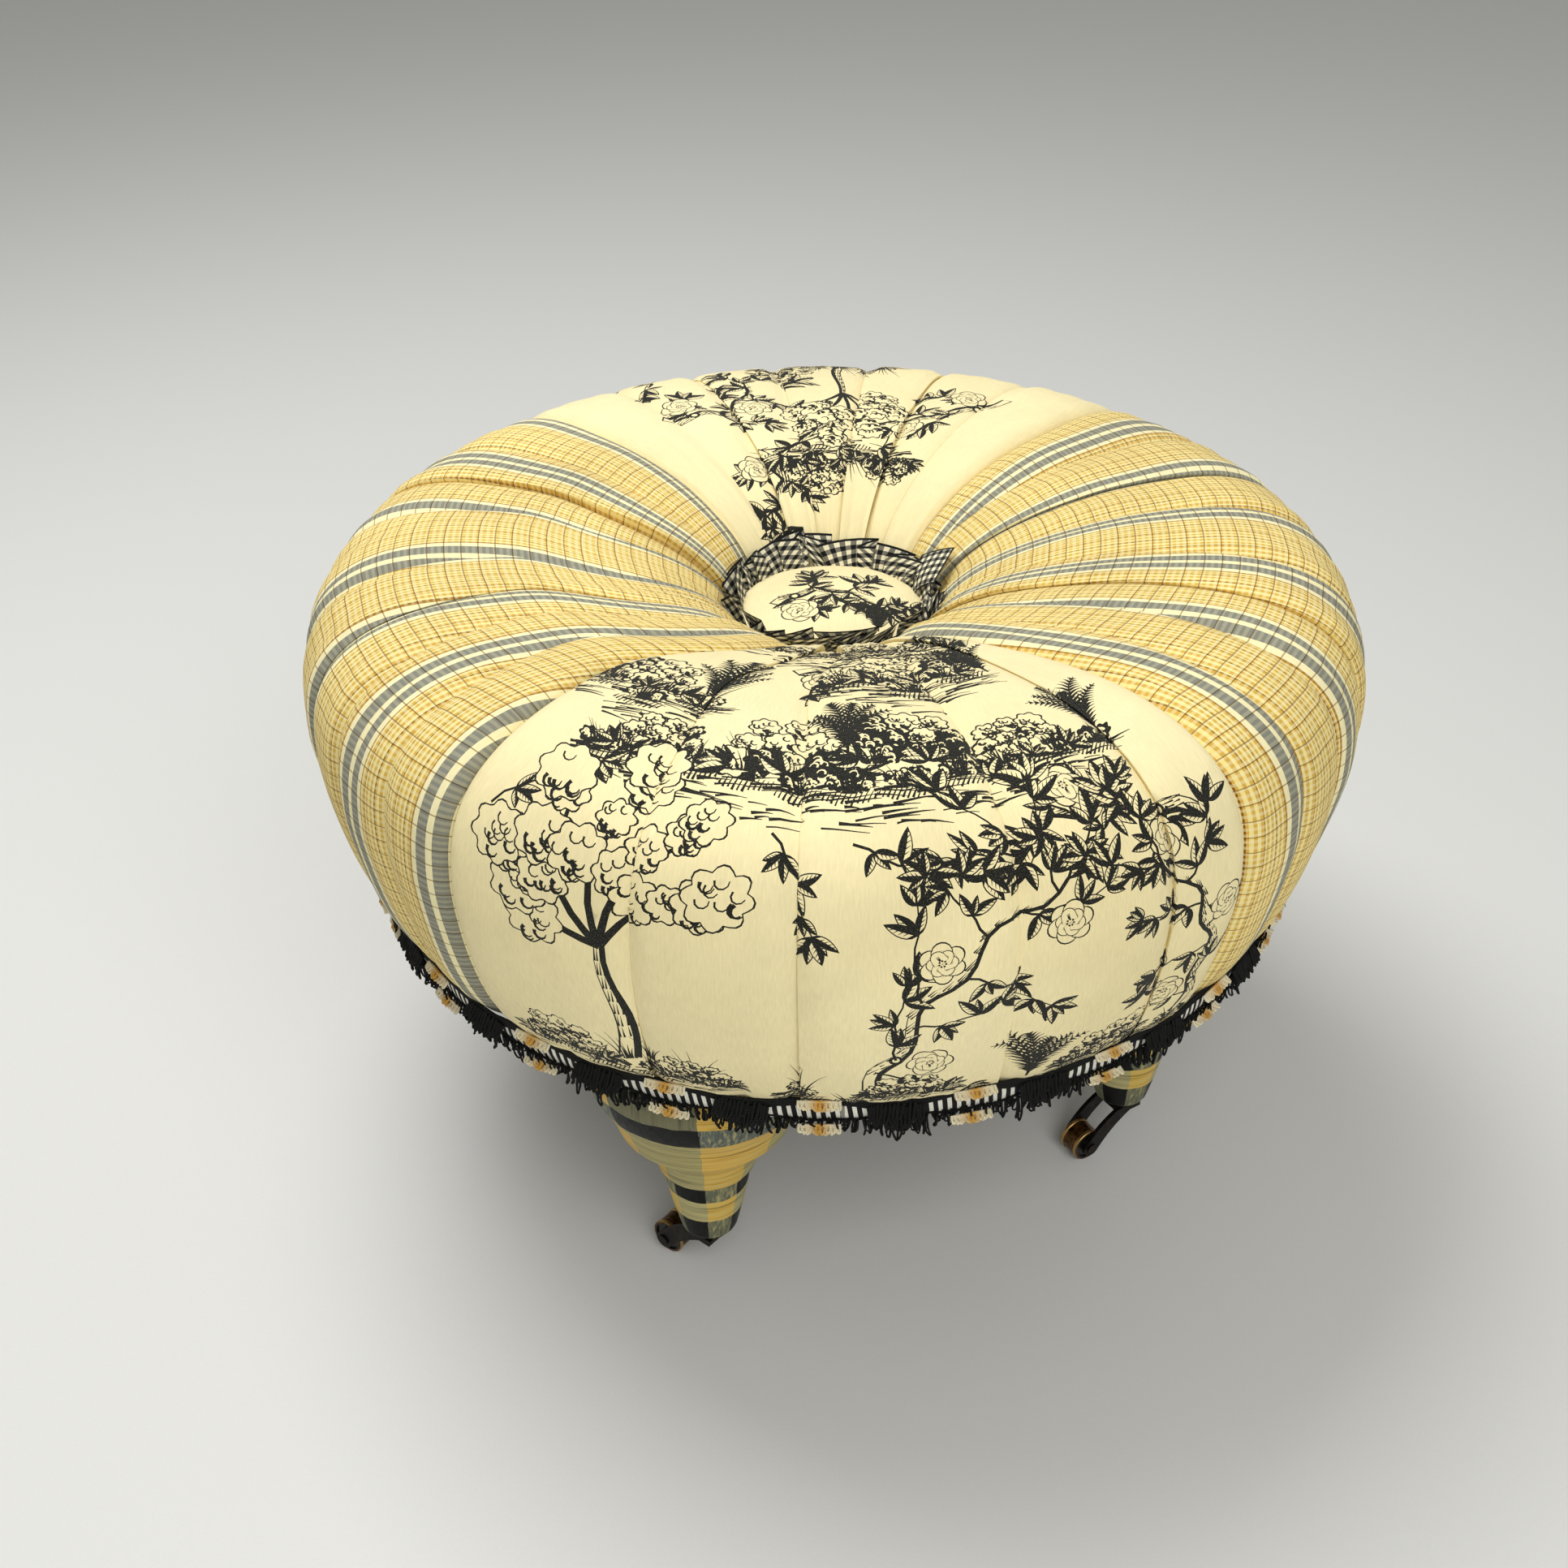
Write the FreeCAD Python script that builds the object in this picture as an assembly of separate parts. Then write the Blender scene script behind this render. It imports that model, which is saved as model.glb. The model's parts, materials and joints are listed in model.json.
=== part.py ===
import FreeCAD, Part
import math
import os
from FreeCAD import Placement, Rotation, Vector

# Round upholstered footstool on four turned legs with casters, in millimetres.
# The origin is on the floor under the middle of the seat, +Z is up and -Y is the front.
# An azimuth is in degrees from the front, positive towards +X.

# Overall sizes
seat_radius = 350.0
seat_height = 465.0
widest_height = 370.0
crown_radius = 210.0
well_radius = 66.0
well_floor_height = 389.0
cover_foot_radius = 309.0
cover_foot_height = 240.0
board_underside = 236.0
leg_foot_height = 46.0
overrun = 1.0

# Fits and clearances
cloth_gap = 0.3
screw_gap = 0.1
bearing_gap = 0.05
swivel_gap = 0.2

# Seat cover: four panels gathered into the well, with sewn pleats
cover_thickness = 6.0
pleat_depth = 3.5
pleat_lip_depth = 0.6
seam_depth = 2.0
pleat_half_angle = 1.6
cover_hem_radius = 45.0
well_fullness = 2.0
crown_fullness = 3.0
side_fullness = 1.4
well_angles = (0, 18, 33, 48, 62, 76, 90)
crown_angles = (90, 72, 55, 42, 30, 15, 0)
side_angles = (0, 22, 42, 66, 90)
front_seam_azimuth = 40.5
back_seam_azimuth = 135.0
front_pleats = (-20, -4.5, 15.5, 32)
right_pleats = (51, 61, 72, 82, 98, 109, 121)
back_pleats = (149, 162, 173, 187, 199, 212)
left_pleats = (-121, -110, -98, -82, -71, -60, -50)
core_skirt_share = 0.9
core_heel_share = 0.95

# Board and the cloth under it
board_thickness = 18.0
dust_cover_thickness = 1.0
dust_cover_margin = 3.7
staple_length = 10.0
staple_width = 1.2
staple_height = 0.6
staple_margin = 10.0
staples_per_side = 7
staple_half_spread = 24.0

# Button in the well
button_radius = 62.0
button_disc_thickness = 10.0
button_cloth = 1.5
button_crown_height = 9.0
button_tuck = 2.0
dome_edge_share = 0.25

# Frill round the button
frill_cloth = 1.4
frill_hem_radius = 50.0
frill_folds = 26
frill_rim_high = 9.0
frill_rim_low = 3.5
frill_slope_high = 4.5
frill_slope_low = 2.2
frill_joint_angle = 0.5
back_azimuth = 180.0

# Braid, fringe and tufts round the foot of the cover
trim_gap = 0.6
braid_top_height = 248.0
braid_thickness = 2.2
fringe_drop = 19.0
fringe_depth = 10.0
fringe_bulge = 3.0
tuft_count = 22
tuft_length = 24.0
tuft_radius = 4.5
tuft_sides = 8
tuft_end_share = 0.5
tuft_shoulder_share = 0.55
tuft_first_azimuth = -2.7
upper_tuft_drop = 2.0
tuft_stand_off = 0.6

# Bolts and nuts in the board
bolt_radius = 4.0
bolt_hole_gap = 1.0
bolt_head_radius = 9.0
bolt_head_height = 3.5
washer_radius = 11.5
washer_thickness = 1.6
nut_width = 13.0
nut_height = 6.5
nut_recess_depth = 10.0
nut_recess_gap = 1.5
tie_bolt_tail = 1.0
tee_nut_radius = 5.0
tee_nut_length = 11.0
tee_flange_radius = 10.0
tee_flange_thickness = 1.4
tee_recess_gap = 0.4
hanger_grip = 45.0
hanger_tail = 2.0

# Turned legs
leg_radius = 79.0
leg_inset = 1.0
leg_turn = -22.5
leg_profile_shares = (
    ((0.000, 0.235), (0.011, 0.248)),
    ((0.011, 0.248), (0.153, 0.322), (0.307, 0.385)),
    ((0.307, 0.385), (0.315, 0.415)),
    ((0.315, 0.415), (0.365, 0.447), (0.415, 0.465)),
    ((0.415, 0.465), (0.420, 0.490)),
    ((0.420, 0.490), (0.475, 0.592), (0.545, 0.738)),
    ((0.545, 0.738), (0.600, 0.780), (0.655, 0.820)),
    ((0.655, 0.820), (0.740, 0.935), (0.835, 1.000)),
    ((0.835, 1.000), (0.935, 0.980), (1.000, 0.911)),
)

# Casters
wheel_radius = 12.7
wheel_half_width = 8.5
wheel_hub_radius = 5.0
wheel_hub_proud = 0.4
wheel_face_recess = 1.3
wheel_rim_width = 2.2
wheel_rim_chamfer = 0.5
wheel_tread_half_width = 5.4
wheel_tread_drop = 0.6
axle_radius = 2.5
axle_head_radius = 4.0
axle_head_height = 1.2
caster_trail = 33.5
horn_plate_radius = 14.0
horn_plate_thickness = 3.8
horn_cheek_thickness = 3.0
horn_cheek_gap = 0.5
horn_boss_radius = 6.5
horn_bridge_thickness = 5.0
horn_bridge_half_length = 10.0
socket_flange_radius = 14.5
socket_flange_thickness = 2.0
socket_wall = 1.45
socket_depth = 38.0
socket_cap = 1.5
stem_tip_gap = 1.5
stem_rivet_radius = 6.0
stem_rivet_height = 1.5
horn_heel_share = 0.8
horn_back_shares = (0.88, 1.15)
horn_belly_shares = (0.42, 0.62)
boss_top_angle = 20.0
boss_side_angle = 210.0
swivel_headings = {"front": 140.0, "right": 211.0, "back": -70.0, "left": 53.0}

# Heights and radii that follow from those
board_top = board_underside + board_thickness
dust_cover_underside = board_underside - dust_cover_thickness
leg_top_height = dust_cover_underside
leg_height = leg_top_height - leg_foot_height
leg_top_radius = leg_radius * leg_profile_shares[-1][-1][1]
full_turn = 360.0


def polar(azimuth, radius, height):
    """The point at an azimuth, a distance from the middle and a height."""
    angle = math.radians(azimuth)
    return Vector(radius * math.sin(angle), -radius * math.cos(angle), height)


def edges_through(runs):
    """Edges for runs of points: a pair is a line and a triple is an arc."""
    edges = []
    for run in runs:
        curve = Part.LineSegment(*run) if len(run) == 2 else Part.Arc(*run)
        edges.append(curve.toShape())
    return edges


def arcs(points):
    """Splits a chain of points into triples that share their ends."""
    return [points[i:i + 3] for i in range(0, len(points) - 1, 2)]


def lines(points):
    """Splits a closed chain of points into pairs."""
    return [[points[i], points[(i + 1) % len(points)]] for i in range(len(points))]


def spun(runs):
    """A solid of revolution about the Z axis, from runs of (radius, height) points that close a section.

    A run of two points is a line and one of three an arc. Arcs are turned as splines, because their
    centres can lie past the axis.
    """
    edges = []
    for run in runs:
        points = [Vector(radius, 0, height) for radius, height in run]
        curve = Part.LineSegment(*points) if len(points) == 2 else Part.Arc(*points).toBSpline()
        edges.append(curve.toShape())
    return Part.Face(Part.Wire(edges)).revolve(Vector(0, 0, 0), Vector(0, 0, 1), full_turn)


def disc(radius, low, high, x=0.0, y=0.0):
    """An upright cylinder between two heights."""
    return Part.makeCylinder(radius, high - low, Vector(x, y, low))


def lofted(sections):
    """A ruled solid through closed sections."""
    return Part.makeLoft(sections, True, True)


def save(name, shape):
    """Writes one node."""
    shape.exportStep("parts/" + name + ".step")


def bow(centre, reach, fullness, angles):
    """Points on a quarter of a superellipse, given by angles from its first axis."""
    points = []
    for angle in angles:
        u = math.radians(angle)
        along = max(math.cos(u), 0) ** (2 / fullness)
        up = max(math.sin(u), 0) ** (2 / fullness)
        points.append((centre[0] + reach[0] * along, centre[1] + reach[1] * up))
    return points


def seat_profile():
    """The crest line of the cover, from the foot of the well over the crown to the hem."""
    well = bow((crown_radius, well_floor_height),
               (well_radius - crown_radius, seat_height - well_floor_height), well_fullness, well_angles)
    crown = bow((crown_radius, widest_height),
                (seat_radius - crown_radius, seat_height - widest_height), crown_fullness, crown_angles)
    side = bow((cover_foot_radius, widest_height),
               (seat_radius - cover_foot_radius, cover_foot_height - widest_height), side_fullness, side_angles)
    return well + crown[1:] + side[1:]


def offset(points, depths):
    """Moves each point of the seat profile inwards, square to the line, by its own depth."""
    chain = [(points[0][0] - well_radius, points[0][1])] + list(points)
    chain.append((2 * points[-1][0] - points[-2][0], 2 * points[-1][1] - points[-2][1]))
    moved = []
    for before, here, after, depth in zip(chain, chain[1:], chain[2:], depths):
        first = Vector(here[0] - before[0], here[1] - before[1], 0).normalize()
        second = Vector(after[0] - here[0], after[1] - here[1], 0).normalize()
        normal = Vector(first.y + second.y, -first.x - second.x, 0).normalize()
        reach = depth / (normal.x * first.y - normal.y * first.x)
        moved.append((here[0] + normal.x * reach, here[1] + normal.y * reach))
    return moved


def side_radius(height):
    """The radius of the cover's lower side at a height."""
    share = (widest_height - height) / (widest_height - cover_foot_height)
    bulge = (1 - share ** side_fullness) ** (1 / side_fullness)
    return cover_foot_radius + (seat_radius - cover_foot_radius) * bulge


crest = seat_profile()
crest_points = len(crest)
hem_inset = cover_thickness * (crest[-2][1] - crest[-1][1]) / math.dist(crest[-1], crest[-2])
board_radius = cover_foot_radius - hem_inset - cloth_gap
leg_circle_radius = board_radius - leg_top_radius - leg_inset


def core_envelope(depth):
    """The space inside the cover, a depth below its crest line, as a solid of revolution."""
    inner = offset(crest, [depth] * crest_points)
    floor = well_floor_height - depth
    low = cover_foot_height - overrun
    start = (inner[0][0], floor)
    runs = [[(0, floor), start]]
    if math.dist(start, inner[0]) > cloth_gap:
        runs.append([start, inner[0]])
    else:
        inner[0] = start
    runs += arcs(inner)
    runs.append([inner[-1], (inner[-1][0], low)])
    runs.append([(inner[-1][0], low), (0, low)])
    runs.append([(0, low), (0, floor)])
    return spun(runs)


def cover_section(azimuth, depth):
    """One upright slice of a cover panel, solid down to a slanted line inside the core."""
    depths = [0] + [depth] * (crest_points - 2) + [0]
    outer = offset(crest, depths)
    heel = (cover_foot_radius * core_skirt_share, cover_foot_height)
    toe = (cover_hem_radius, well_floor_height * core_heel_share)
    hem = (cover_hem_radius, well_floor_height)
    runs = [[hem, outer[0]]] + arcs(outer) + [[outer[-1], heel], [heel, toe], [toe, hem]]
    placed = [[polar(azimuth, r, z) for r, z in run] for run in runs]
    return Part.Wire(edges_through(placed))


def cover_panel(start, end, pleats, envelope):
    """One panel between two seams, puffed between its pleats."""
    stations = {start: seam_depth, end: seam_depth}
    marks = [start] + list(pleats) + [end]
    for left, right in zip(marks, marks[1:]):
        stations[(left + right) / 2] = 0
    for pleat in pleats:
        stations[pleat] = pleat_depth
        stations[pleat - pleat_half_angle] = pleat_lip_depth
        stations[pleat + pleat_half_angle] = pleat_lip_depth
    sections = [cover_section(azimuth, stations[azimuth]) for azimuth in sorted(stations)]
    return lofted(sections).cut(envelope)


def covers():
    """The four panels of the cover, front, right, back and left."""
    envelope = core_envelope(cover_thickness)
    seams = {
        "front": (-front_seam_azimuth, front_seam_azimuth, front_pleats),
        "right": (front_seam_azimuth, back_seam_azimuth, right_pleats),
        "back": (back_seam_azimuth, full_turn - back_seam_azimuth, back_pleats),
        "left": (-back_seam_azimuth, -front_seam_azimuth, left_pleats),
    }
    for side, (start, end, pleats) in seams.items():
        save("cover_" + side, cover_panel(start, end, pleats, envelope))


def foam_core():
    """The padding, which fills the cover down to the board."""
    body = core_envelope(cover_thickness + cloth_gap)
    body = body.cut(disc(seat_radius, 0, board_top))
    return body.cut(disc(bolt_radius + bolt_hole_gap, board_top - overrun, seat_height))


def leg_places():
    """Plan positions of the legs, by side."""
    places = {}
    for number, side in enumerate(("front", "right", "back", "left")):
        point = polar(leg_turn + number * full_turn / 4, leg_circle_radius, 0)
        places[side] = (point.x, point.y)
    return places


def base_board():
    """The round plywood board, drilled for the leg bolts and the tie bolt."""
    board = disc(board_radius, board_underside, board_top)
    for x, y in leg_places().values():
        board = board.cut(disc(tee_nut_radius + screw_gap, board_underside, board_top, x, y))
        recess = board_top - tee_flange_thickness
        board = board.cut(disc(tee_flange_radius + tee_recess_gap, recess, board_top, x, y))
    board = board.cut(disc(bolt_radius + screw_gap, board_underside, board_top))
    recess_radius = washer_radius + nut_recess_gap
    return board.cut(disc(recess_radius, board_underside, board_underside + nut_recess_depth))


def dust_cover():
    """The thin cloth under the board, pierced where the leg bolts go through."""
    cloth = disc(board_radius - dust_cover_margin, dust_cover_underside, board_underside)
    for x, y in leg_places().values():
        cloth = cloth.cut(disc(bolt_radius + screw_gap, dust_cover_underside, board_underside, x, y))
    return cloth


def staples():
    """The staples that hold the dust cover, between the legs."""
    low = dust_cover_underside - staple_height
    crown = Part.makeBox(staple_length, staple_width, staple_height,
                         Vector(-staple_length / 2, -staple_width / 2, low))
    group = []
    step = 2 * staple_half_spread / (staples_per_side - 1)
    for side in range(4):
        middle = leg_turn + (side + 1 / 2) * full_turn / 4
        for number in range(staples_per_side):
            azimuth = middle - staple_half_spread + number * step
            place = polar(azimuth, board_radius - dust_cover_margin - staple_margin, 0)
            turned = crown.copy()
            turned.Placement = Placement(place, Rotation(Vector(0, 0, 1), azimuth))
            group.append(turned)
    return Part.Compound(group)


# Heights in the button stack, upwards from the floor of the well
frill_underside = well_floor_height + cloth_gap
button_underside = frill_underside + frill_cloth + cloth_gap
button_pad_underside = button_underside + button_disc_thickness


def button_disc():
    """The plywood disc of the button."""
    return disc(button_radius, button_underside, button_pad_underside).cut(
        disc(bolt_radius + screw_gap, button_underside, button_pad_underside))


def dome(radius, foot, rise):
    """A shallow dome on a flat foot."""
    top = foot + rise
    shoulder = foot + rise * dome_edge_share
    sagitta = top - shoulder
    ball = (radius * radius + sagitta * sagitta) / (2 * sagitta)
    half_way = math.asin(radius / ball) / 2
    middle = (ball * math.sin(half_way), top - ball * (1 - math.cos(half_way)))
    return spun([
        [(0, foot), (radius, foot)],
        [(radius, foot), (radius, shoulder)],
        [(radius, shoulder), middle, (0, top)],
        [(0, top), (0, foot)],
    ])


def button_pad():
    """The padding on the disc, hollowed for the head of the tie bolt."""
    pad = dome(button_radius, button_pad_underside, button_crown_height)
    head_top = button_pad_underside + bolt_head_height + cloth_gap
    return pad.cut(disc(bolt_head_radius + cloth_gap, button_pad_underside, head_top))


def button_cover():
    """The cloth stretched over the pad and down the edge of the disc."""
    low = button_underside + button_tuck
    inner_radius = button_radius + cloth_gap
    inner = dome(inner_radius, button_pad_underside, button_crown_height + cloth_gap)
    inner = inner.fuse(disc(inner_radius, low - overrun, button_pad_underside))
    outer_radius = inner_radius + button_cloth
    outer = dome(outer_radius, button_pad_underside, button_crown_height + cloth_gap + button_cloth)
    outer = outer.fuse(disc(outer_radius, low, button_pad_underside))
    return outer.cut(inner).removeSplitter()


def frill():
    """The folded frill round the button, an open ring whose ends meet at the back."""
    slope = crest[:3]
    bed = offset(crest, [-cloth_gap] * crest_points)[:len(slope)]
    sections = []
    stations = 2 * frill_folds
    sweep = full_turn - 2 * frill_joint_angle
    for number in range(stations + 1):
        azimuth = back_azimuth + frill_joint_angle + sweep * number / stations
        high = number % 2 == 1
        heights = (frill_cloth, frill_slope_high if high else frill_slope_low,
                   frill_rim_high if high else frill_rim_low)
        rises = [-(cloth_gap + height) for height in heights] + [0] * (crest_points - len(slope))
        top = offset(crest, rises)[:len(slope)]
        hem_low = (frill_hem_radius, frill_underside)
        hem_high = (frill_hem_radius, top[0][1])
        runs = [[hem_low, bed[0]], bed, [bed[-1], top[-1]], top[::-1], [top[0], hem_high],
                [hem_high, hem_low]]
        placed = [[polar(azimuth, r, z) for r, z in run] for run in runs]
        sections.append(Part.Wire(edges_through(placed)))
    return lofted(sections)


# Lines of the trim, from the braid outwards
braid_top_radius = side_radius(braid_top_height) + trim_gap
braid_foot_radius = cover_foot_radius + trim_gap
braid_slope = (braid_top_radius - braid_foot_radius) / (braid_top_height - board_underside)
fringe_inner_radius = leg_circle_radius + leg_radius + trim_gap
fringe_outer_radius = fringe_inner_radius + fringe_depth
fringe_foot_height = board_underside - fringe_drop


def braid():
    """The flat braid that covers the edge of the cover."""
    return spun(lines([
        (braid_foot_radius, board_underside),
        (braid_foot_radius + braid_thickness, board_underside),
        (braid_top_radius + braid_thickness, braid_top_height),
        (braid_top_radius, braid_top_height),
    ]))


def fringe():
    """The body of the fringe that hangs from the foot of the braid."""
    top_inner = (fringe_inner_radius, board_underside)
    top_outer = (fringe_outer_radius, board_underside)
    middle = (fringe_outer_radius + fringe_bulge, board_underside - fringe_drop / 2)
    foot_outer = (fringe_outer_radius, fringe_foot_height)
    foot_inner = (fringe_inner_radius, fringe_foot_height)
    return spun([[top_inner, top_outer], [top_outer, middle, foot_outer],
                 [foot_outer, foot_inner], [foot_inner, top_inner]])


def tuft_section(along, radius):
    """A section across a tuft, with a corner on its inner side."""
    points = []
    for number in range(tuft_sides):
        angle = math.radians(number * full_turn / tuft_sides)
        points.append(Vector(along, radius * math.cos(angle), radius * math.sin(angle)))
    return Part.Wire(edges_through(lines(points)))


def tuft():
    """One tuft, a faceted spindle along X."""
    half = tuft_length / 2
    shoulder = tuft_shoulder_share * half
    end_radius = tuft_end_share * tuft_radius
    return lofted([tuft_section(-half, end_radius), tuft_section(-shoulder, tuft_radius),
                   tuft_section(shoulder, tuft_radius), tuft_section(half, end_radius)])


def tufts():
    """Pairs of tufts, one at the top of the braid and one at the top of the fringe."""
    upper_height = braid_top_height - upper_tuft_drop
    upper_radius = (braid_foot_radius + braid_thickness + trim_gap + tuft_radius
                    + braid_slope * (upper_height - board_underside) + tuft_stand_off)
    lower_height = board_underside - tuft_radius
    fringe_middle = board_underside - fringe_drop / 2
    fringe_round = ((fringe_drop / 2) ** 2 + fringe_bulge ** 2) / (2 * fringe_bulge)
    reach = fringe_round + cloth_gap + tuft_radius
    lower_radius = (fringe_outer_radius + fringe_bulge - fringe_round
                    + math.sqrt(reach ** 2 - (lower_height - fringe_middle) ** 2))
    group = []
    for number in range(tuft_count):
        azimuth = tuft_first_azimuth + number * full_turn / tuft_count
        for radius, height in ((upper_radius, upper_height), (lower_radius, lower_height)):
            piece = tuft()
            piece.Placement = Placement(polar(azimuth, radius, height),
                                        Rotation(Vector(0, 0, 1), azimuth))
            group.append(piece)
    return Part.Compound(group)


def tie_bolt():
    """The bolt that pulls the button down to the board."""
    head = disc(bolt_head_radius, button_pad_underside, button_pad_underside + bolt_head_height)
    head = head.makeFillet(bolt_head_height / 2, [head.Edges[0]])
    shank_low = board_underside + tie_bolt_tail
    return head.fuse(disc(bolt_radius, shank_low, button_pad_underside))


washer_underside = board_underside + nut_recess_depth - washer_thickness


def tie_washer():
    """The washer in the recess under the board."""
    top = board_underside + nut_recess_depth
    ring = disc(washer_radius, washer_underside, top)
    return ring.cut(disc(bolt_radius + screw_gap, washer_underside, top))


def hexagon(width, low, high):
    """A hexagonal prism, given across its flats."""
    corner = width / 2 / math.cos(math.radians(30))
    points = [polar(number * full_turn / 6, corner, low) for number in range(6)]
    face = Part.Face(Part.Wire(edges_through(lines(points))))
    return face.extrude(Vector(0, 0, high - low))


def tie_nut():
    """The nut on the tie bolt."""
    low = washer_underside - nut_height
    return hexagon(nut_width, low, washer_underside).cut(
        disc(bolt_radius + screw_gap, low, washer_underside))


def tee_nuts():
    """The four flanged nuts in the top of the board."""
    group = []
    flange_low = board_top - tee_flange_thickness
    for x, y in leg_places().values():
        body = disc(tee_flange_radius, flange_low, board_top, x, y)
        barrel_low = board_top - tee_nut_length
        body = body.fuse(disc(tee_nut_radius, barrel_low, flange_low, x, y))
        group.append(body.cut(disc(bolt_radius + screw_gap, barrel_low, board_top, x, y)))
    return Part.Compound(group)


def hanger_bolts():
    """The four bolts that join the legs to the board."""
    low = leg_top_height - hanger_grip
    return Part.Compound([disc(bolt_radius, low, board_top - hanger_tail, x, y)
                          for x, y in leg_places().values()])


def leg():
    """One turned leg on the Z axis, bored for its bolt and for the caster socket."""
    runs = [[(share_r * leg_radius, leg_foot_height + share_z * leg_height) for share_z, share_r in run]
            for run in leg_profile_shares]
    top = runs[-1][-1]
    foot = runs[0][0]
    runs += [[top, (0, leg_top_height)], [(0, leg_top_height), (0, leg_foot_height)],
             [(0, leg_foot_height), foot]]
    body = spun(runs)
    bolt_low = leg_top_height - hanger_grip
    body = body.cut(disc(bolt_radius + screw_gap, bolt_low, leg_top_height))
    socket_top = leg_foot_height + socket_depth + socket_cap + screw_gap
    return body.cut(disc(socket_radius + screw_gap, leg_foot_height, socket_top))


# Heights and radii of the caster, with the swivel axis on Z and the wheel towards +X
stem_radius = bolt_radius
socket_bore = stem_radius + bearing_gap
socket_radius = socket_bore + socket_wall
flange_underside = leg_foot_height - socket_flange_thickness
horn_top = flange_underside - swivel_gap
plate_underside = horn_top - horn_plate_thickness
bridge_underside = plate_underside - horn_bridge_thickness
cheek_inside = wheel_half_width + wheel_hub_proud + horn_cheek_gap
cheek_outside = cheek_inside + horn_cheek_thickness


def socket():
    """The sleeve in the foot of the leg, with its flange."""
    top = leg_foot_height + socket_depth
    body = disc(socket_flange_radius, flange_underside, leg_foot_height)
    body = body.fuse(disc(socket_radius, leg_foot_height, top + socket_cap))
    return body.cut(disc(socket_bore, flange_underside, top))


def stem():
    """The pin that turns in the socket, riveted under the horn."""
    top = leg_foot_height + socket_depth - stem_tip_gap
    rivet = disc(stem_rivet_radius, bridge_underside - stem_rivet_height, bridge_underside)
    return rivet.fuse(disc(stem_radius, bridge_underside, top))


def boss_point(angle):
    """A point on the rim of the axle boss."""
    turn = math.radians(angle)
    return (caster_trail + horn_boss_radius * math.cos(turn),
            wheel_radius + horn_boss_radius * math.sin(turn))


def cheek(low_y):
    """One curved arm of the horn."""
    nose = (horn_plate_radius * horn_heel_share, plate_underside)
    heel = (-nose[0], plate_underside)
    tip = boss_point(boss_top_angle)
    under = boss_point(boss_side_angle)
    back = (caster_trail * horn_back_shares[0], wheel_radius * (1 + horn_back_shares[1]))
    belly = (caster_trail * horn_belly_shares[0], plate_underside * horn_belly_shares[1])
    runs = [[heel, nose], [nose, back, tip], [tip, boss_point(-90), under], [under, belly, heel]]
    placed = [[Vector(x, low_y, z) for x, z in run] for run in runs]
    face = Part.Face(Part.Wire(edges_through(placed)))
    return face.extrude(Vector(0, horn_cheek_thickness, 0))


def horn():
    """The forked arm between the stem and the axle."""
    body = disc(horn_plate_radius, plate_underside, horn_top)
    bridge = Part.makeBox(2 * horn_bridge_half_length, 2 * cheek_outside, horn_bridge_thickness,
                          Vector(-horn_bridge_half_length, -cheek_outside, bridge_underside))
    body = body.fuse([bridge, cheek(cheek_inside), cheek(-cheek_outside)])
    body = body.cut(disc(stem_radius + bearing_gap, bridge_underside, horn_top))
    hole = Part.makeCylinder(axle_radius + bearing_gap, 2 * cheek_outside,
                             Vector(caster_trail, -cheek_outside, wheel_radius), Vector(0, 1, 0))
    return body.cut(hole).removeSplitter()


def along_axle(radius, low, high):
    """A cylinder on the axle's line."""
    return Part.makeCylinder(radius, high - low, Vector(caster_trail, low, wheel_radius), Vector(0, 1, 0))


def axle():
    """The axle, riveted over outside both arms."""
    body = along_axle(axle_radius, -cheek_outside, cheek_outside)
    head_end = cheek_outside + axle_head_height
    return body.fuse([along_axle(axle_head_radius, cheek_outside, head_end),
                      along_axle(axle_head_radius, -head_end, -cheek_outside)])


def wheel():
    """The wheel, with two rims, a lower tread and recessed faces."""
    bore = axle_radius + bearing_gap
    hub_end = wheel_half_width + wheel_hub_proud
    recess = wheel_half_width - wheel_face_recess
    rim_inside = wheel_radius - wheel_rim_width
    chamfer = wheel_radius - wheel_rim_chamfer
    tread = wheel_radius - wheel_tread_drop
    half = [
        (bore, hub_end),
        (wheel_hub_radius, hub_end),
        (wheel_hub_radius, recess),
        (rim_inside, recess),
        (rim_inside, wheel_half_width),
        (chamfer, wheel_half_width),
        (wheel_radius, wheel_half_width - wheel_rim_chamfer),
        (wheel_radius, wheel_tread_half_width + wheel_tread_drop),
        (tread, wheel_tread_half_width),
    ]
    outline = half + [(r, -y) for r, y in reversed(half)]
    body = spun(lines(outline))
    body.Placement = Placement(Vector(caster_trail, 0, wheel_radius), Rotation(Vector(1, 0, 0), 90))
    return body


def legs_and_casters():
    """A leg and a caster at each place, with each caster turned its own way."""
    pieces = {"socket": socket(), "stem": stem(), "horn": horn(), "axle": axle(), "wheel": wheel()}
    turned_leg = leg()
    for side, (x, y) in leg_places().items():
        standing = turned_leg.copy()
        standing.translate(Vector(x, y, 0))
        save("leg_" + side, standing)
        for name, shape in pieces.items():
            copy = Part.Compound([shape]).copy()
            copy.Placement = Placement(Vector(x, y, 0), Rotation(Vector(0, 0, 1), swivel_headings[side]))
            save(name + "_" + side, copy)


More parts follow.
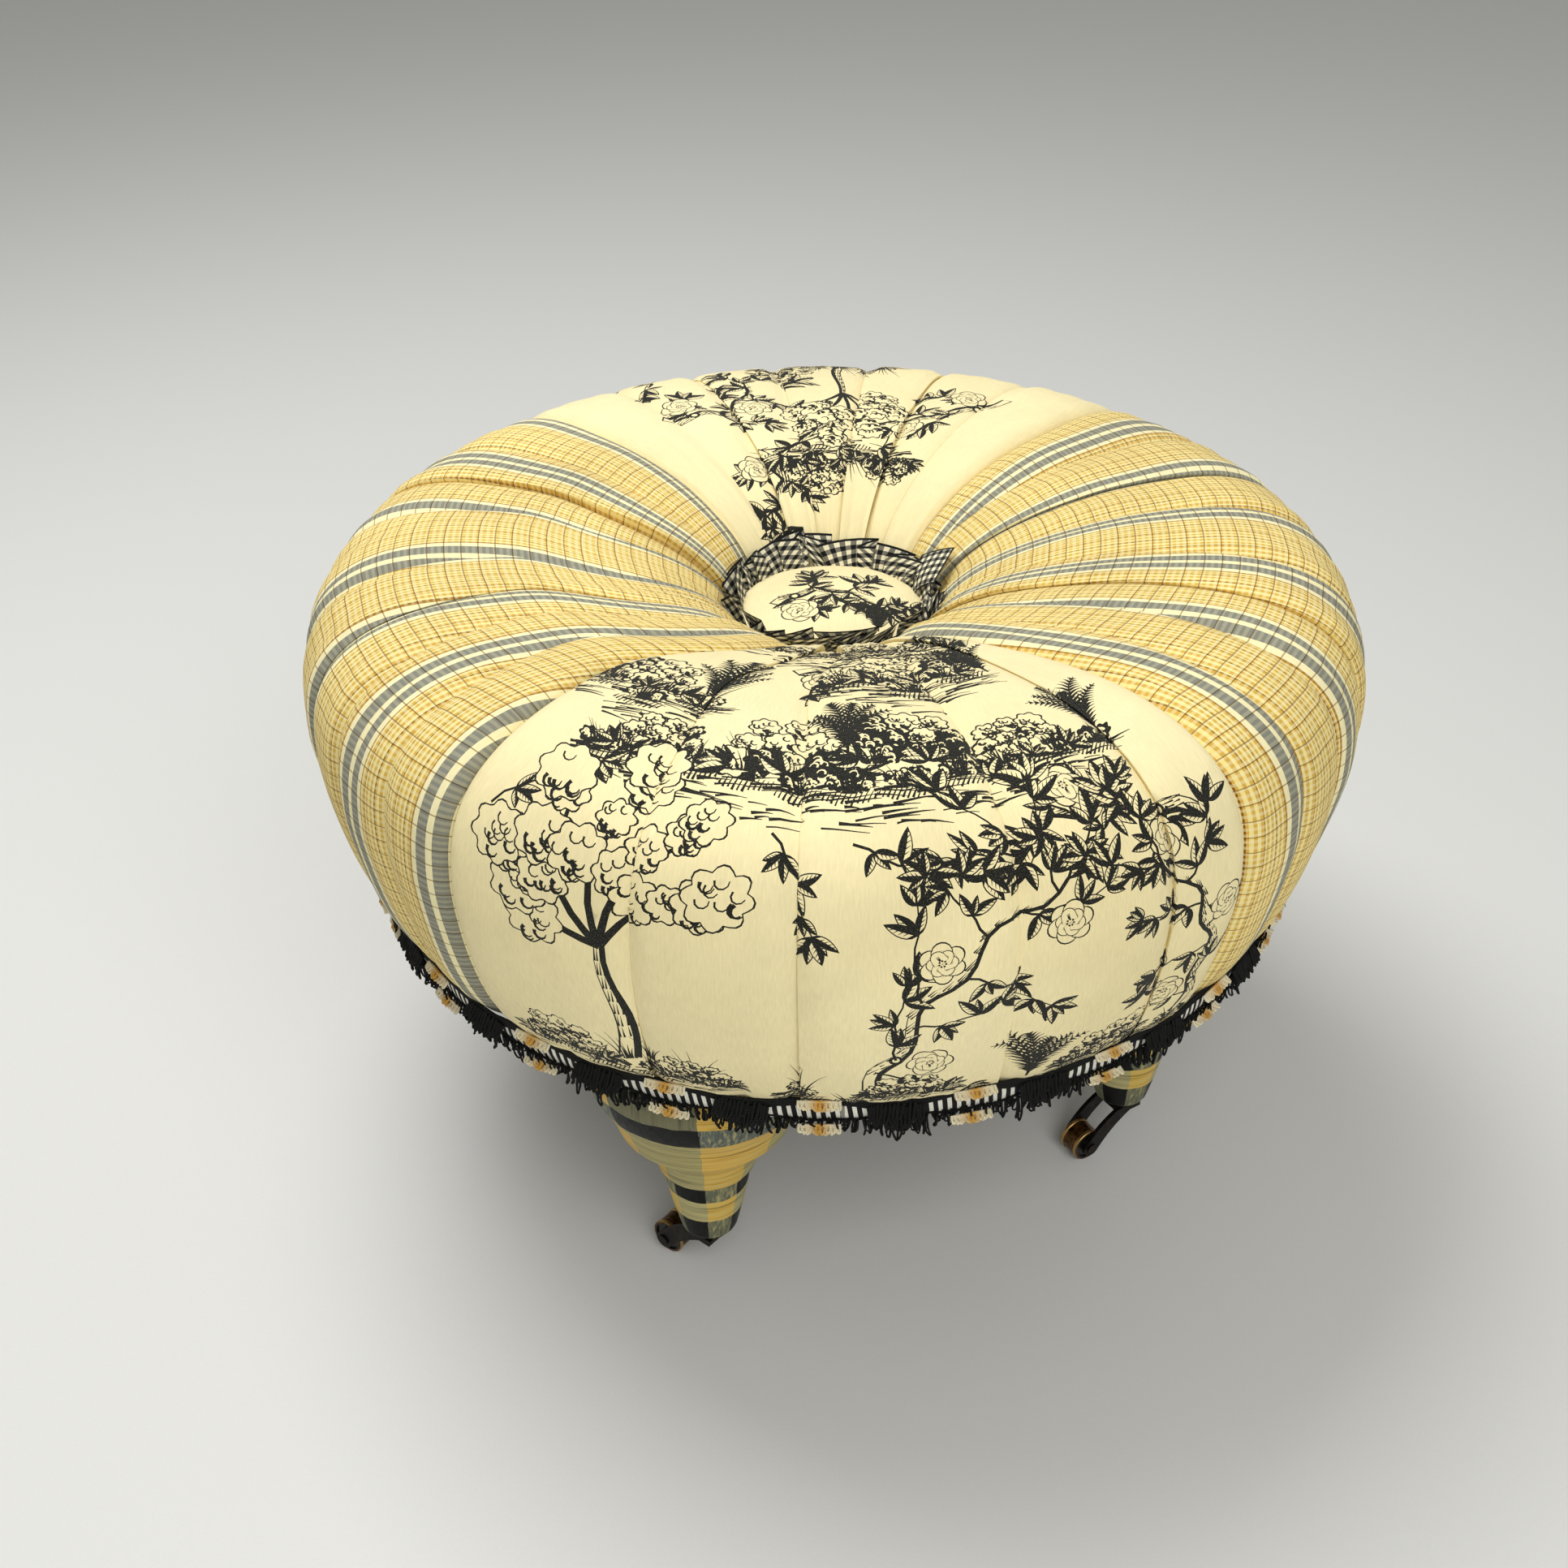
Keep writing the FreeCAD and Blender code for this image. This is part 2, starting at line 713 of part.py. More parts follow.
os.makedirs("parts", exist_ok=True)
save("base_board", base_board())
save("dust_cover", dust_cover())
save("staples", staples())
save("foam_core", foam_core())
covers()
save("button_disc", button_disc())
save("button_pad", button_pad())
save("button_cover", button_cover())
save("frill", frill())
save("braid", braid())
save("fringe", fringe())
save("tufts", tufts())
save("tie_bolt", tie_bolt())
save("tie_washer", tie_washer())
save("tie_nut", tie_nut())
save("tee_nuts", tee_nuts())
save("hanger_bolts", hanger_bolts())
legs_and_casters()
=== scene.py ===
import json
import math
import random

import bpy
import numpy as np
from mathutils import Matrix, Vector
from mathutils.geometry import delaunay_2d_cdt


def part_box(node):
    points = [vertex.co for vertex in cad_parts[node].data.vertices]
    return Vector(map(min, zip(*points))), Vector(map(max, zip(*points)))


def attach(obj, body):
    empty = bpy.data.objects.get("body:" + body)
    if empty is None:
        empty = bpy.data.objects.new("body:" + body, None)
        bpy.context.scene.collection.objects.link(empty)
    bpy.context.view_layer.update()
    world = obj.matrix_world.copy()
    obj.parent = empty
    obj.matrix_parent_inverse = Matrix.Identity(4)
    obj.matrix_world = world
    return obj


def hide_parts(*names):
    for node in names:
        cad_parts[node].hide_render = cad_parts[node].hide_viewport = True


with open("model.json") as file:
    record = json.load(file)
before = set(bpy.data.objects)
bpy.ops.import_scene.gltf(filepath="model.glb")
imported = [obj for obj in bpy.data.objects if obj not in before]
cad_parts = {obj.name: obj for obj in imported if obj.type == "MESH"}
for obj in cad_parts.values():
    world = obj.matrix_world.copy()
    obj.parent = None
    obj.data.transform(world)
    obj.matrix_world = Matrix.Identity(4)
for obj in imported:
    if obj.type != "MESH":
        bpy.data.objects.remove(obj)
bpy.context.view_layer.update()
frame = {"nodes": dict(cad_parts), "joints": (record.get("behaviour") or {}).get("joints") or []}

sides = ("front", "right", "back", "left")

# The seat's outline: three quarters of superellipses, in metres, each with its middle, reach and fullness,
# and how many points each is drawn with
quarter_points = 160
well = ((0.210, 0.389), (-0.144, 0.076), 2.0)
crown = ((0.210, 0.370), (0.140, 0.095), 3.0)
flank = ((0.309, 0.370), (0.041, -0.130), 1.4)

# Pleats: each one's place as a share of its panel's width, and its strength, whose sign is the side on top
pleats_front = ((0.25, 1), (0.44, -1), (0.68, 1), (0.88, -1))
pleats_right = ((0.10, 1), (0.20, 1), (0.32, -1), (0.43, 1), (0.60, 1), (0.72, -1), (0.85, 1))
pleats_back = ((0.155, 1), (0.30, -1), (0.42, 1), (0.58, -1), (0.71, 1), (0.855, -1))
pleats_left = ((0.15, -1), (0.265, 2.3), (0.39, -1.9), (0.56, -1), (0.68, 1), (0.79, -1), (0.90, -1))

# Cloth sizes in metres
grid_step = 0.005
pleat_take = 0.0045
pleat_turn = 0.0020
pleat_lift = 0.0034
pleat_fade = 0.009
cloth_sink = 0.0022
cloth_puff = 0.0030
seam_dip = 0.0042
seam_spread = 0.0045
seam_lines = (0.0012, 0.0026)
puff_limit = 0.006
foam_sink, foam_lump = 0.0095, 0.001

# Wrinkles: how far apart the fine, the leaning and the broad ones are in metres, and how deep they are
wave_step, lean_wave, broad_wave, broad_wave_along = 0.0095, 0.05, 0.028, 0.16
fine_depth, broad_depth = 0.0003, 0.0007
frill_depth, hem_depth = 0.0021, 0.0015
# How far the fine ones lean, and how often they and their lean change along a panel
wave_lean, wave_changes, lean_changes = 1.6, 3.5, 2.5

# The same cloth in shares: how much more is gathered at the frill and at the hem, and how far that reaches
take_gather, turn_gather, lift_gather = (1.0, 0.7), (0.8, 0.5), (0.9, 0.7)
frill_reach, hem_reach = 0.2, 0.12
frill_wrinkles, hem_wrinkles = 0.24, 0.15
pleat_strength, pleat_variety, pleat_changes = 0.62, 0.55, 3.1
puff_ends, puff_middle, puff_shape = 0.45, 0.55, 0.6
widest_share = 0.6

# How far a panel's stripes stray at its first and its last seam, in metres, and where along it that sets in
strays = {"front": (0.0, 0.0), "right": (0.034, 0.0), "back": (0.0, 0.0), "left": (0.0, 0.058)}
stray_middle, stray_spread = 0.42, 0.26

# The front's sink: its depth in metres, its place and its reach along the cover, its reach round in radians
front_dip = 0.0065
dip_middle, dip_spread, dip_turn = 0.14, 0.11, 0.55


def tint(red, green, blue):
    """A colour given in 0 to 255 as a screen shows it, for a shader."""
    shares = [value / 255 for value in (red, green, blue)]
    return [x / 12.92 if x <= 0.04045 else ((x + 0.055) / 1.055) ** 2.4 for x in shares] + [1.0]


# Shader nodes
class Nodes:
    """Adds nodes to one tree. Inputs take numbers, colours or the outputs of other nodes."""

    def __init__(self, tree):
        self.tree = tree

    def feed(self, socket, value):
        if isinstance(value, bpy.types.NodeSocket):
            self.tree.links.new(value, socket)
        elif value is not None:
            socket.default_value = value

    def add(self, kind, inputs=(), **settings):
        node = self.tree.nodes.new(kind)
        for name, value in settings.items():
            setattr(node, name, value)
        for key, value in dict(inputs).items():
            self.feed(node.inputs[key], value)
        return node

    def math(self, operation, *values):
        return self.add("ShaderNodeMath", enumerate(values), operation=operation).outputs[0]

    def times(self, first, second):
        return self.math("MULTIPLY", first, second)

    def plus(self, first, second):
        return self.math("ADD", first, second)

    def minus(self, first, second):
        return self.math("SUBTRACT", first, second)

    def over(self, first, second):
        return self.math("DIVIDE", first, second)

    def vector_math(self, operation, *values, output=0):
        return self.add("ShaderNodeVectorMath", enumerate(values), operation=operation).outputs[output]

    def scaled(self, vector, amounts):
        return self.vector_math("MULTIPLY", vector, amounts)

    def moved(self, vector, amounts):
        return self.vector_math("ADD", vector, amounts)

    def parts(self, vector):
        return self.add("ShaderNodeSeparateXYZ", {0: vector}).outputs

    def joined(self, x, y, z=0.0):
        return self.add("ShaderNodeCombineXYZ", {0: x, 1: y, 2: z}).outputs[0]

    def noise(self, vector, scale, detail=3.0, roughness=0.5, distortion=0.0):
        inputs = {"Vector": vector, "Scale": scale, "Detail": detail, "Roughness": roughness,
                  "Distortion": distortion}
        return self.add("ShaderNodeTexNoise", inputs).outputs[0]

    def span(self, value, low, high, to_low=0.0, to_high=1.0):
        return self.add("ShaderNodeMapRange", enumerate((value, low, high, to_low, to_high))).outputs[0]

    def mix(self, share, first, second, blend="MIX"):
        node = self.add("ShaderNodeMix", data_type="RGBA", blend_type=blend)
        for number, value in ((0, share), (6, first), (7, second)):
            self.feed(node.inputs[number], value)
        return node.outputs[2]

    def ramp(self, value, *stops, steps=False):
        node = self.add("ShaderNodeValToRGB", {0: value})
        node.color_ramp.interpolation = "CONSTANT" if steps else "LINEAR"
        while len(node.color_ramp.elements) < len(stops):
            node.color_ramp.elements.new(1.0)
        for element, (position, colour) in zip(node.color_ramp.elements, stops):
            element.position = position
            element.color = colour
        return node.outputs[0]

    def bump(self, height, distance, strength=1.0, under=None):
        inputs = {"Height": height, "Distance": distance, "Strength": strength, "Normal": under}
        return self.add("ShaderNodeBump", inputs).outputs[0]

    def group(self, effect, **inputs):
        node = self.add("ShaderNodeGroup", node_tree=effect)
        for name, value in inputs.items():
            self.feed(node.inputs[name], value)
        return node.outputs

    def attribute(self, name):
        return self.add("ShaderNodeAttribute", attribute_name=name).outputs

    def uv(self, name):
        return self.add("ShaderNodeUVMap", uv_map=name).outputs[0]

    def place(self):
        return self.add("ShaderNodeTexCoord").outputs["Object"]


def effect(name, inputs, outputs, build):
    """A shared effect: build takes the nodes and the named inputs and gives the outputs in order."""
    tree = bpy.data.node_groups.new(name, "ShaderNodeTree")
    kinds = {"f": "NodeSocketFloat", "v": "NodeSocketVector", "c": "NodeSocketColor"}
    for label, kind in inputs:
        tree.interface.new_socket(label, in_out="INPUT", socket_type=kinds[kind])
    for label, kind in outputs:
        tree.interface.new_socket(label, in_out="OUTPUT", socket_type=kinds[kind])
    nodes = Nodes(tree)
    given = nodes.add("NodeGroupInput").outputs
    made = nodes.add("NodeGroupOutput")
    for number, value in enumerate(build(nodes, given)):
        nodes.feed(made.inputs[number], value)
    return tree


def material(name, build, **constants):
    """A material whose patterns come from build and whose even values sit on the shader itself."""
    made = bpy.data.materials.new(name)
    made.use_nodes = True
    nodes = Nodes(made.node_tree)
    made.node_tree.nodes.clear()
    shader = nodes.add("ShaderNodeBsdfPrincipled")
    for label, value in {**constants, **build(nodes)}.items():
        nodes.feed(shader.inputs[label.replace("_", " ")], value)
    target = nodes.add("ShaderNodeOutputMaterial")
    made.node_tree.links.new(shader.outputs[0], target.inputs[0])
    return made


def build_weave(nodes, given):
    """Plain weave: threads go over and under each other. Place is in metres, pitch in metres."""
    x, y, _ = nodes.parts(given["Place"])
    turn_x = nodes.times(nodes.over(x, given["Pitch"]), math.pi)
    turn_y = nodes.times(nodes.over(y, given["Pitch"]), math.pi)
    sine_x, sine_y = nodes.math("SINE", turn_x), nodes.math("SINE", turn_y)
    over = nodes.math("GREATER_THAN", nodes.times(sine_x, sine_y), 0.0)
    warp = nodes.math("ABSOLUTE", sine_x)
    weft = nodes.math("ABSOLUTE", sine_y)
    first = nodes.times(warp, over)
    second = nodes.times(weft, nodes.minus(1.0, over))
    slub = nodes.noise(nodes.scaled(given["Place"], (1.0, 0.12, 1.0)), scale=900.0, detail=2.0)
    height = nodes.times(nodes.plus(first, second), nodes.span(slub, 0.2, 0.8, 0.6, 1.2))
    return height, nodes.span(height, 0.0, 0.5, 0.0, 1.0), slub


def build_bands(nodes, given):
    """1 on a band of the given share of each period, 0 elsewhere."""
    turn = nodes.plus(nodes.over(given["Value"], given["Period"]), given["Start"])
    return (nodes.math("LESS_THAN", nodes.math("FRACT", turn), given["Share"]),)


def build_mottle(nodes, given):
    """Uneven dirt and fading, from low to high."""
    rough = nodes.noise(given["Place"], scale=given["Scale"], detail=6.0, roughness=0.6, distortion=0.4)
    return (nodes.span(rough, 0.3, 0.7, given["Low"], given["High"]),)


weave = effect("weave", [("Place", "v"), ("Pitch", "f")],
               [("Height", "f"), ("Gap", "f"), ("Slub", "f")], build_weave)
bands = effect("bands", [("Value", "f"), ("Period", "f"), ("Start", "f"), ("Share", "f")],
               [("Mask", "f")], build_bands)
mottle = effect("mottle", [("Place", "v"), ("Scale", "f"), ("Low", "f"), ("High", "f")],
                [("Value", "f")], build_mottle)


def cloth_look(nodes, colour, pitch=0.00042, depth=0.00012):
    """Weave, slubs, a little fading and painted shade in the weave's gaps over a cloth's colour."""
    place = nodes.uv("cloth")
    woven = nodes.group(weave, Place=place, Pitch=pitch)
    faded = nodes.group(mottle, Place=nodes.place(), Scale=9.0, Low=0.90, High=1.05)
    # painted shade: the colour darkens where the threads dip into the weave's gaps, with fading and slubs
    # over it
    fading_and_gap_shade = nodes.times(faded["Value"], nodes.span(woven["Gap"], 0.0, 1.0, 0.86, 1.0))
    fading_and_gap_shade = nodes.times(fading_and_gap_shade, nodes.span(woven["Slub"], 0.3, 0.7, 0.95, 1.04))
    toned = nodes.mix(1.0, colour, nodes.joined(fading_and_gap_shade, fading_and_gap_shade, fading_and_gap_shade), "MULTIPLY")
    crumple = nodes.noise(nodes.place(), scale=60.0, detail=4.0, roughness=0.55)
    crumpled = nodes.bump(crumple, distance=0.0011, strength=0.5)
    return {"Base Color": toned,
            "Normal": nodes.bump(woven["Height"], distance=depth, strength=0.6, under=crumpled)}


def print_cotton(nodes):
    """Cream cotton, printed in charcoal by the faces' own ink."""
    ink = nodes.attribute("ink")["Fac"]
    paper = nodes.mix(nodes.noise(nodes.place(), scale=5.0), tint(247, 229, 170), tint(253, 241, 194))
    worn = nodes.span(nodes.noise(nodes.uv("cloth"), scale=1400.0, detail=2.0), 0.25, 0.45, 0.86, 1.0)
    return cloth_look(nodes, nodes.mix(nodes.times(ink, worn), paper, tint(22, 23, 20)))


# The plaid: one group of stripes in each period, fine checks between, and thin lines both ways, in metres
plaid_period = 0.102
group_stripes = ((0.0013, "ochre"), (0.0048, "cream"), (0.0092, "grey"), (0.0052, "cream"), (0.0092, "grey"),
                 (0.0048, "cream"), (0.0013, "ochre"))
plaid_tones = {"cream": tint(253, 242, 190), "grey": tint(138, 138, 124), "ochre": tint(176, 130, 44)}
check_period = 0.0044
line_period, line_share = 0.0110, 0.08


def plaid_cotton(nodes):
    """Yellow plaid: groups of grey and cream stripes between fine checks, crossed by thin brown lines."""
    x, y, _ = nodes.parts(nodes.uv("cloth"))

    def band(value, period, start, share):
        return nodes.group(bands, Value=value, Period=period, Start=start, Share=share)["Mask"]

    def lines(value, colour, strength):
        mask = nodes.times(band(value, line_period, 0.0, line_share), strength)
        return nodes.mix(mask, colour, tint(150, 116, 56), "MULTIPLY")

    colour = nodes.mix(band(x, check_period, 0.0, 0.5), tint(222, 181, 80), tint(250, 230, 150))
    colour = lines(x, colour, 0.95)
    wide, stops = sum(width for width, _ in group_stripes), []
    for width, tone in group_stripes:
        stops.append((stops[-1][0] + before / plaid_period if stops else 0.0, plaid_tones[tone]))
        before = width
    turn = nodes.math("FRACT", nodes.over(x, plaid_period))
    in_group = nodes.math("LESS_THAN", turn, wide / plaid_period)
    colour = nodes.mix(in_group, colour, nodes.ramp(turn, *stops, steps=True))
    weft = nodes.times(band(y, check_period, 0.5, 0.5), nodes.span(in_group, 0.0, 1.0, 0.40, 0.16))
    return cloth_look(nodes, lines(y, nodes.mix(weft, colour, plaid_tones["cream"]), 0.72))


gingham_pitch = 0.0056
bar_period, bar_share, rib_period = 0.0056, 0.46, 0.0008


def gingham_cotton(nodes):
    """Black and cream checks, slanted fold by fold, with a dark selvedge where the faces say edge."""
    x, y, _ = nodes.parts(nodes.uv("cloth"))
    x = nodes.math("MULTIPLY_ADD", y, nodes.attribute("slant")["Fac"], x)
    first = nodes.group(bands, Value=x, Period=gingham_pitch, Start=0.0, Share=0.5)["Mask"]
    second = nodes.group(bands, Value=y, Period=gingham_pitch, Start=0.25, Share=0.5)["Mask"]
    both = nodes.times(nodes.plus(first, second), 0.5)
    colour = nodes.ramp(both, (0.0, tint(248, 240, 206)), (0.5, tint(122, 120, 108)), (1.0, tint(12, 12, 12)))
    edge = nodes.math("GREATER_THAN", nodes.attribute("edge")["Fac"], 0.5)
    return cloth_look(nodes, nodes.mix(edge, colour, tint(20, 20, 21)), 0.0005, 0.00018)


def ribbon_cloth(nodes):
    """White bars on black grosgrain, a little slanted."""
    place = nodes.uv("cloth")
    x, y, _ = nodes.parts(place)
    leant = nodes.plus(x, nodes.times(y, 0.12))
    wavy = nodes.plus(leant, nodes.span(nodes.noise(place, scale=60.0), 0.0, 1.0, -0.0005, 0.0005))
    bar = nodes.group(bands, Value=wavy, Period=bar_period, Start=0.0, Share=bar_share)["Mask"]
    ribs = nodes.math("SINE", nodes.times(x, 2 * math.pi / rib_period))
    colour = nodes.mix(bar, tint(16, 16, 17), tint(250, 247, 232))
    toned = nodes.mix(nodes.span(ribs, -1.0, 1.0, 0.0, 0.16), colour, tint(90, 88, 80), "MULTIPLY")
    return {"Base Color": toned, "Normal": nodes.bump(ribs, distance=0.0002, strength=0.7)}


def yarn(dark, light, tip=None):
    """Twisted yarn: strands wind round it, by its own UV map, painted light along each strand as a highlight
    and dark between the strands as shade.
    """
    def build(nodes):
        place = nodes.uv("cloth")
        x, y, _ = nodes.parts(place)
        wound = nodes.math("SINE", nodes.plus(nodes.times(x, 2 * math.pi * 3),
                                              nodes.times(y, 5200.0)))
        fuzz = nodes.noise(nodes.place(), scale=1600.0, detail=3.0)
        # painted highlight and shade: the colour runs from dark to light as the strands wind round, with fuzz
        colour = nodes.mix(nodes.times(nodes.span(wound, -1.0, 1.0), fuzz), dark, light)
        if tip:
            colour = nodes.mix(nodes.attribute("middle")["Fac"], colour, tip)
        height = nodes.plus(wound, fuzz)
        return {"Base Color": colour, "Normal": nodes.bump(height, distance=0.0003, strength=0.8)}
    return build


def plain_cloth(nodes):
    """Thin black cloth with a pale dust over it."""
    dust = nodes.group(mottle, Place=nodes.place(), Scale=14.0, Low=0.0, High=0.35)["Value"]
    return cloth_look(nodes, nodes.mix(dust, tint(24, 24, 25), tint(58, 56, 52)), 0.0006, 0.0002)


def wadding(nodes):
    """Pale foam under the cloth."""
    cells = nodes.add("ShaderNodeTexVoronoi", {"Vector": nodes.place(), "Scale": 700.0}).outputs[0]
    colour = nodes.mix(cells, tint(232, 226, 206), tint(206, 196, 170))
    return {"Base Color": colour, "Normal": nodes.bump(cells, distance=0.0006)}


def plywood(nodes):
    """Birch plywood: rings of grain on its face and thin layers at its edge."""
    _, _, height = nodes.parts(nodes.place())
    stretched = nodes.scaled(nodes.place(), (4.0, 40.0, 4.0))
    grain = nodes.noise(stretched, scale=3.0, detail=6.0, roughness=0.6, distortion=1.2)
    layer = nodes.group(bands, Value=height, Period=0.0028, Start=0.0, Share=0.5)["Mask"]
    colour = nodes.mix(grain, tint(196, 162, 112), tint(226, 198, 150))
    colour = nodes.mix(nodes.times(layer, 0.3), colour, tint(150, 112, 70))
    return {"Base Color": colour, "Normal": nodes.bump(grain, distance=0.0003),
            "Roughness": nodes.span(grain, 0.0, 1.0, 0.55, 0.8)}


# Painted rows up a leg: each one's top in metres and its colours in the odd and the even columns
paint_rows = (
    (0.067, (104, 106, 84), (12, 13, 12)),
    (0.089, (214, 178, 84), (172, 164, 116)),
    (0.106, (100, 103, 84), (12, 13, 12)),
    (0.125, (206, 168, 76), (158, 150, 104)),
    (0.183, (212, 172, 78), (164, 154, 102)),
    (0.203, (92, 100, 92), (12, 13, 12)),
    (0.240, (208, 168, 74), (114, 112, 84)),
)
paint_foot, paint_top = 0.046, 0.240
paint_columns = 8.0
dark_paint = 0.16


def painted_wood(centre):
    """Hand-painted checks round a leg at a centre: ochre and slate columns between khaki and black ones."""
    def build(nodes):
        place = nodes.moved(nodes.place(), (-centre[0], -centre[1], 0.0))
        x, y, z = nodes.parts(place)
        turn = nodes.over(nodes.math("ARCTAN2", y, x), 2 * math.pi)
        wobble = nodes.noise(place, scale=34.0, detail=3.0)
        column = nodes.plus(nodes.times(turn, paint_columns), nodes.span(wobble, 0.3, 0.7, -0.05, 0.05))
        odd = nodes.math("PINGPONG", nodes.math("FLOOR", column), 1.0)
        height = nodes.plus(z, nodes.span(wobble, 0.3, 0.7, -0.0016, 0.0016))
        share = nodes.span(height, paint_foot, paint_top)
        families = []
        for family in (1, 2):
            stops, at = [], paint_foot
            for row in paint_rows:
                stops.append(((at - paint_foot) / (paint_top - paint_foot), tint(*row[family])))
                at = row[0]
            families.append(nodes.ramp(share, *stops, steps=True))
        colour = nodes.mix(odd, *families)
        grey = nodes.add("ShaderNodeRGBToBW", {0: colour}).outputs[0]
        dark = nodes.math("LESS_THAN", grey, dark_paint)
        flat, tall = nodes.scaled(place, (14.0, 14.0, 520.0)), nodes.scaled(place, (430.0, 430.0, 16.0))
        round_leg = nodes.noise(flat, scale=1.0, detail=5.0, roughness=0.65, distortion=0.5)
        up_leg = nodes.noise(tall, scale=1.0, detail=4.0, roughness=0.6, distortion=0.4)
        strokes = nodes.plus(nodes.times(up_leg, dark),
                             nodes.times(round_leg, nodes.minus(1.0, dark)))
        pale = nodes.times(nodes.span(strokes, 0.50, 0.66, 0.0, 0.6),
                          nodes.minus(1.0, nodes.times(odd, dark)))
        colour = nodes.mix(pale, colour, tint(196, 184, 124))
        colour = nodes.mix(nodes.span(strokes, 0.48, 0.32, 0.0, 0.55), colour, tint(58, 56, 42), "DARKEN")
        return {"Base Color": colour, "Roughness": nodes.span(strokes, 0.2, 0.8, 0.34, 0.6),
                "Normal": nodes.bump(strokes, distance=0.0004, strength=0.6)}
    return build


def bronzed_iron(nodes):
    """Dark bronzed castings, rubbed brown in places."""
    rubbed = nodes.group(mottle, Place=nodes.place(), Scale=120.0, Low=-0.9, High=1.0)["Value"]
    pits = nodes.noise(nodes.place(), scale=900.0, detail=4.0, roughness=0.7)
    colour = nodes.mix(nodes.math("MAXIMUM", rubbed, 0.0), tint(22, 20, 19), tint(58, 42, 30))
    return {"Base Color": colour, "Roughness": nodes.span(pits, 0.3, 0.7, 0.28, 0.55),
            "Normal": nodes.bump(pits, distance=0.0003, strength=0.5)}


# Radii in metres between which a wheel's black face turns to tread, and its tread to a brass rim painted
# bright as a highlight
tread_edge, rim_highlight_edge = (0.0106, 0.0114), (0.0121, 0.0126)


def wheel_look(middle, axis):
    """A caster wheel round a middle and axis: brown brass tread and brass rims painted bright as a highlight,
    black on its faces.
    """
    def build(nodes):
        place = nodes.moved(nodes.place(), [-value for value in middle])
        along = nodes.vector_math("DOT_PRODUCT", place, axis, output="Value")
        reach = nodes.vector_math("LENGTH", place, output="Value")
        side = nodes.times(along, along)
        radius = nodes.math("SQRT", nodes.minus(nodes.times(reach, reach), side))
        tread = nodes.span(radius, *tread_edge)
        rim = nodes.span(radius, *rim_highlight_edge)
        stain = nodes.noise(nodes.place(), scale=260.0, detail=5.0, roughness=0.65)
        brass = nodes.mix(nodes.span(stain, 0.35, 0.65), tint(38, 27, 17), tint(128, 90, 46))
        colour = nodes.mix(tread, tint(14, 13, 13), brass)
        # painted highlight: the rim's band is mixed towards a bright brass colour
        colour = nodes.mix(nodes.times(rim, 0.6), colour, tint(214, 178, 112))
        return {"Base Color": colour, "Metallic": nodes.times(tread, 0.9),
                "Roughness": nodes.span(stain, 0.2, 0.8, 0.25, 0.5),
                "Normal": nodes.bump(stain, distance=0.0002, strength=0.6)}
    return build


def zinc_steel(nodes):
    """Zinc plate, cloudy and finely scratched."""
    cloud = nodes.group(mottle, Place=nodes.place(), Scale=80.0, Low=0.0, High=1.0)["Value"]
    scratch = nodes.noise(nodes.scaled(nodes.place(), (1.0, 1.0, 0.06)), scale=1800.0, detail=2.0)
    return {"Base Color": nodes.mix(cloud, tint(150, 150, 146), tint(196, 196, 190)),
            "Roughness": nodes.span(scratch, 0.2, 0.8, 0.25, 0.5),
            "Normal": nodes.bump(scratch, distance=0.0001, strength=0.4)}


# How the cloths take the light, and a material for each finish
cotton_feel = {"Roughness": 0.8, "Sheen_Weight": 0.04, "Sheen_Roughness": 0.5, "Specular_IOR_Level": 0.22}
yarn_feel = {"Roughness": 0.7, "Sheen_Weight": 0.12, "Sheen_Roughness": 0.4, "Specular_IOR_Level": 0.35}
dark_feel = {"Roughness": 0.75, "Specular_IOR_Level": 0.2}
materials = {
    "print_cotton": material("print_cotton", print_cotton, **cotton_feel),
    "plaid_cotton": material("plaid_cotton", plaid_cotton, **cotton_feel),
    "gingham_cotton": material("gingham_cotton", gingham_cotton, **cotton_feel),
    "ribbon": material("ribbon", ribbon_cloth, **cotton_feel),
    # each yarn's second colour is its painted highlight, and the cream one's third is its amber middle
    "black_yarn": material("black_yarn", yarn(tint(8, 8, 8), tint(44, 45, 42)), **dark_feel),
    "cream_yarn": material("cream_yarn", yarn(tint(238, 224, 180), tint(255, 251, 232), tint(214, 160, 56)),
                           **yarn_feel),
    "black_cloth": material("black_cloth", plain_cloth, **cotton_feel),
    "padding": material("padding", wadding, Roughness=0.95),
    "plywood": material("plywood", plywood, Specular_IOR_Level=0.3),
    "bronzed_iron": material("bronzed_iron", bronzed_iron, Metallic=0.75),
    "zinc_steel": material("zinc_steel", zinc_steel, Metallic=1.0),
}


# Meshes
def placed(name, data):
    """A new object in the scene."""
    made = bpy.data.objects.new(name, data)
    bpy.context.scene.collection.objects.link(made)
    return made


def paired(across, along):
    """Every pair of two lines of values, row by row."""
    return [values.ravel() for values in np.meshgrid(across, along)]


def full_turn(count):
    """Angles all the way round."""
    return np.linspace(0, 2 * np.pi, count, endpoint=False)


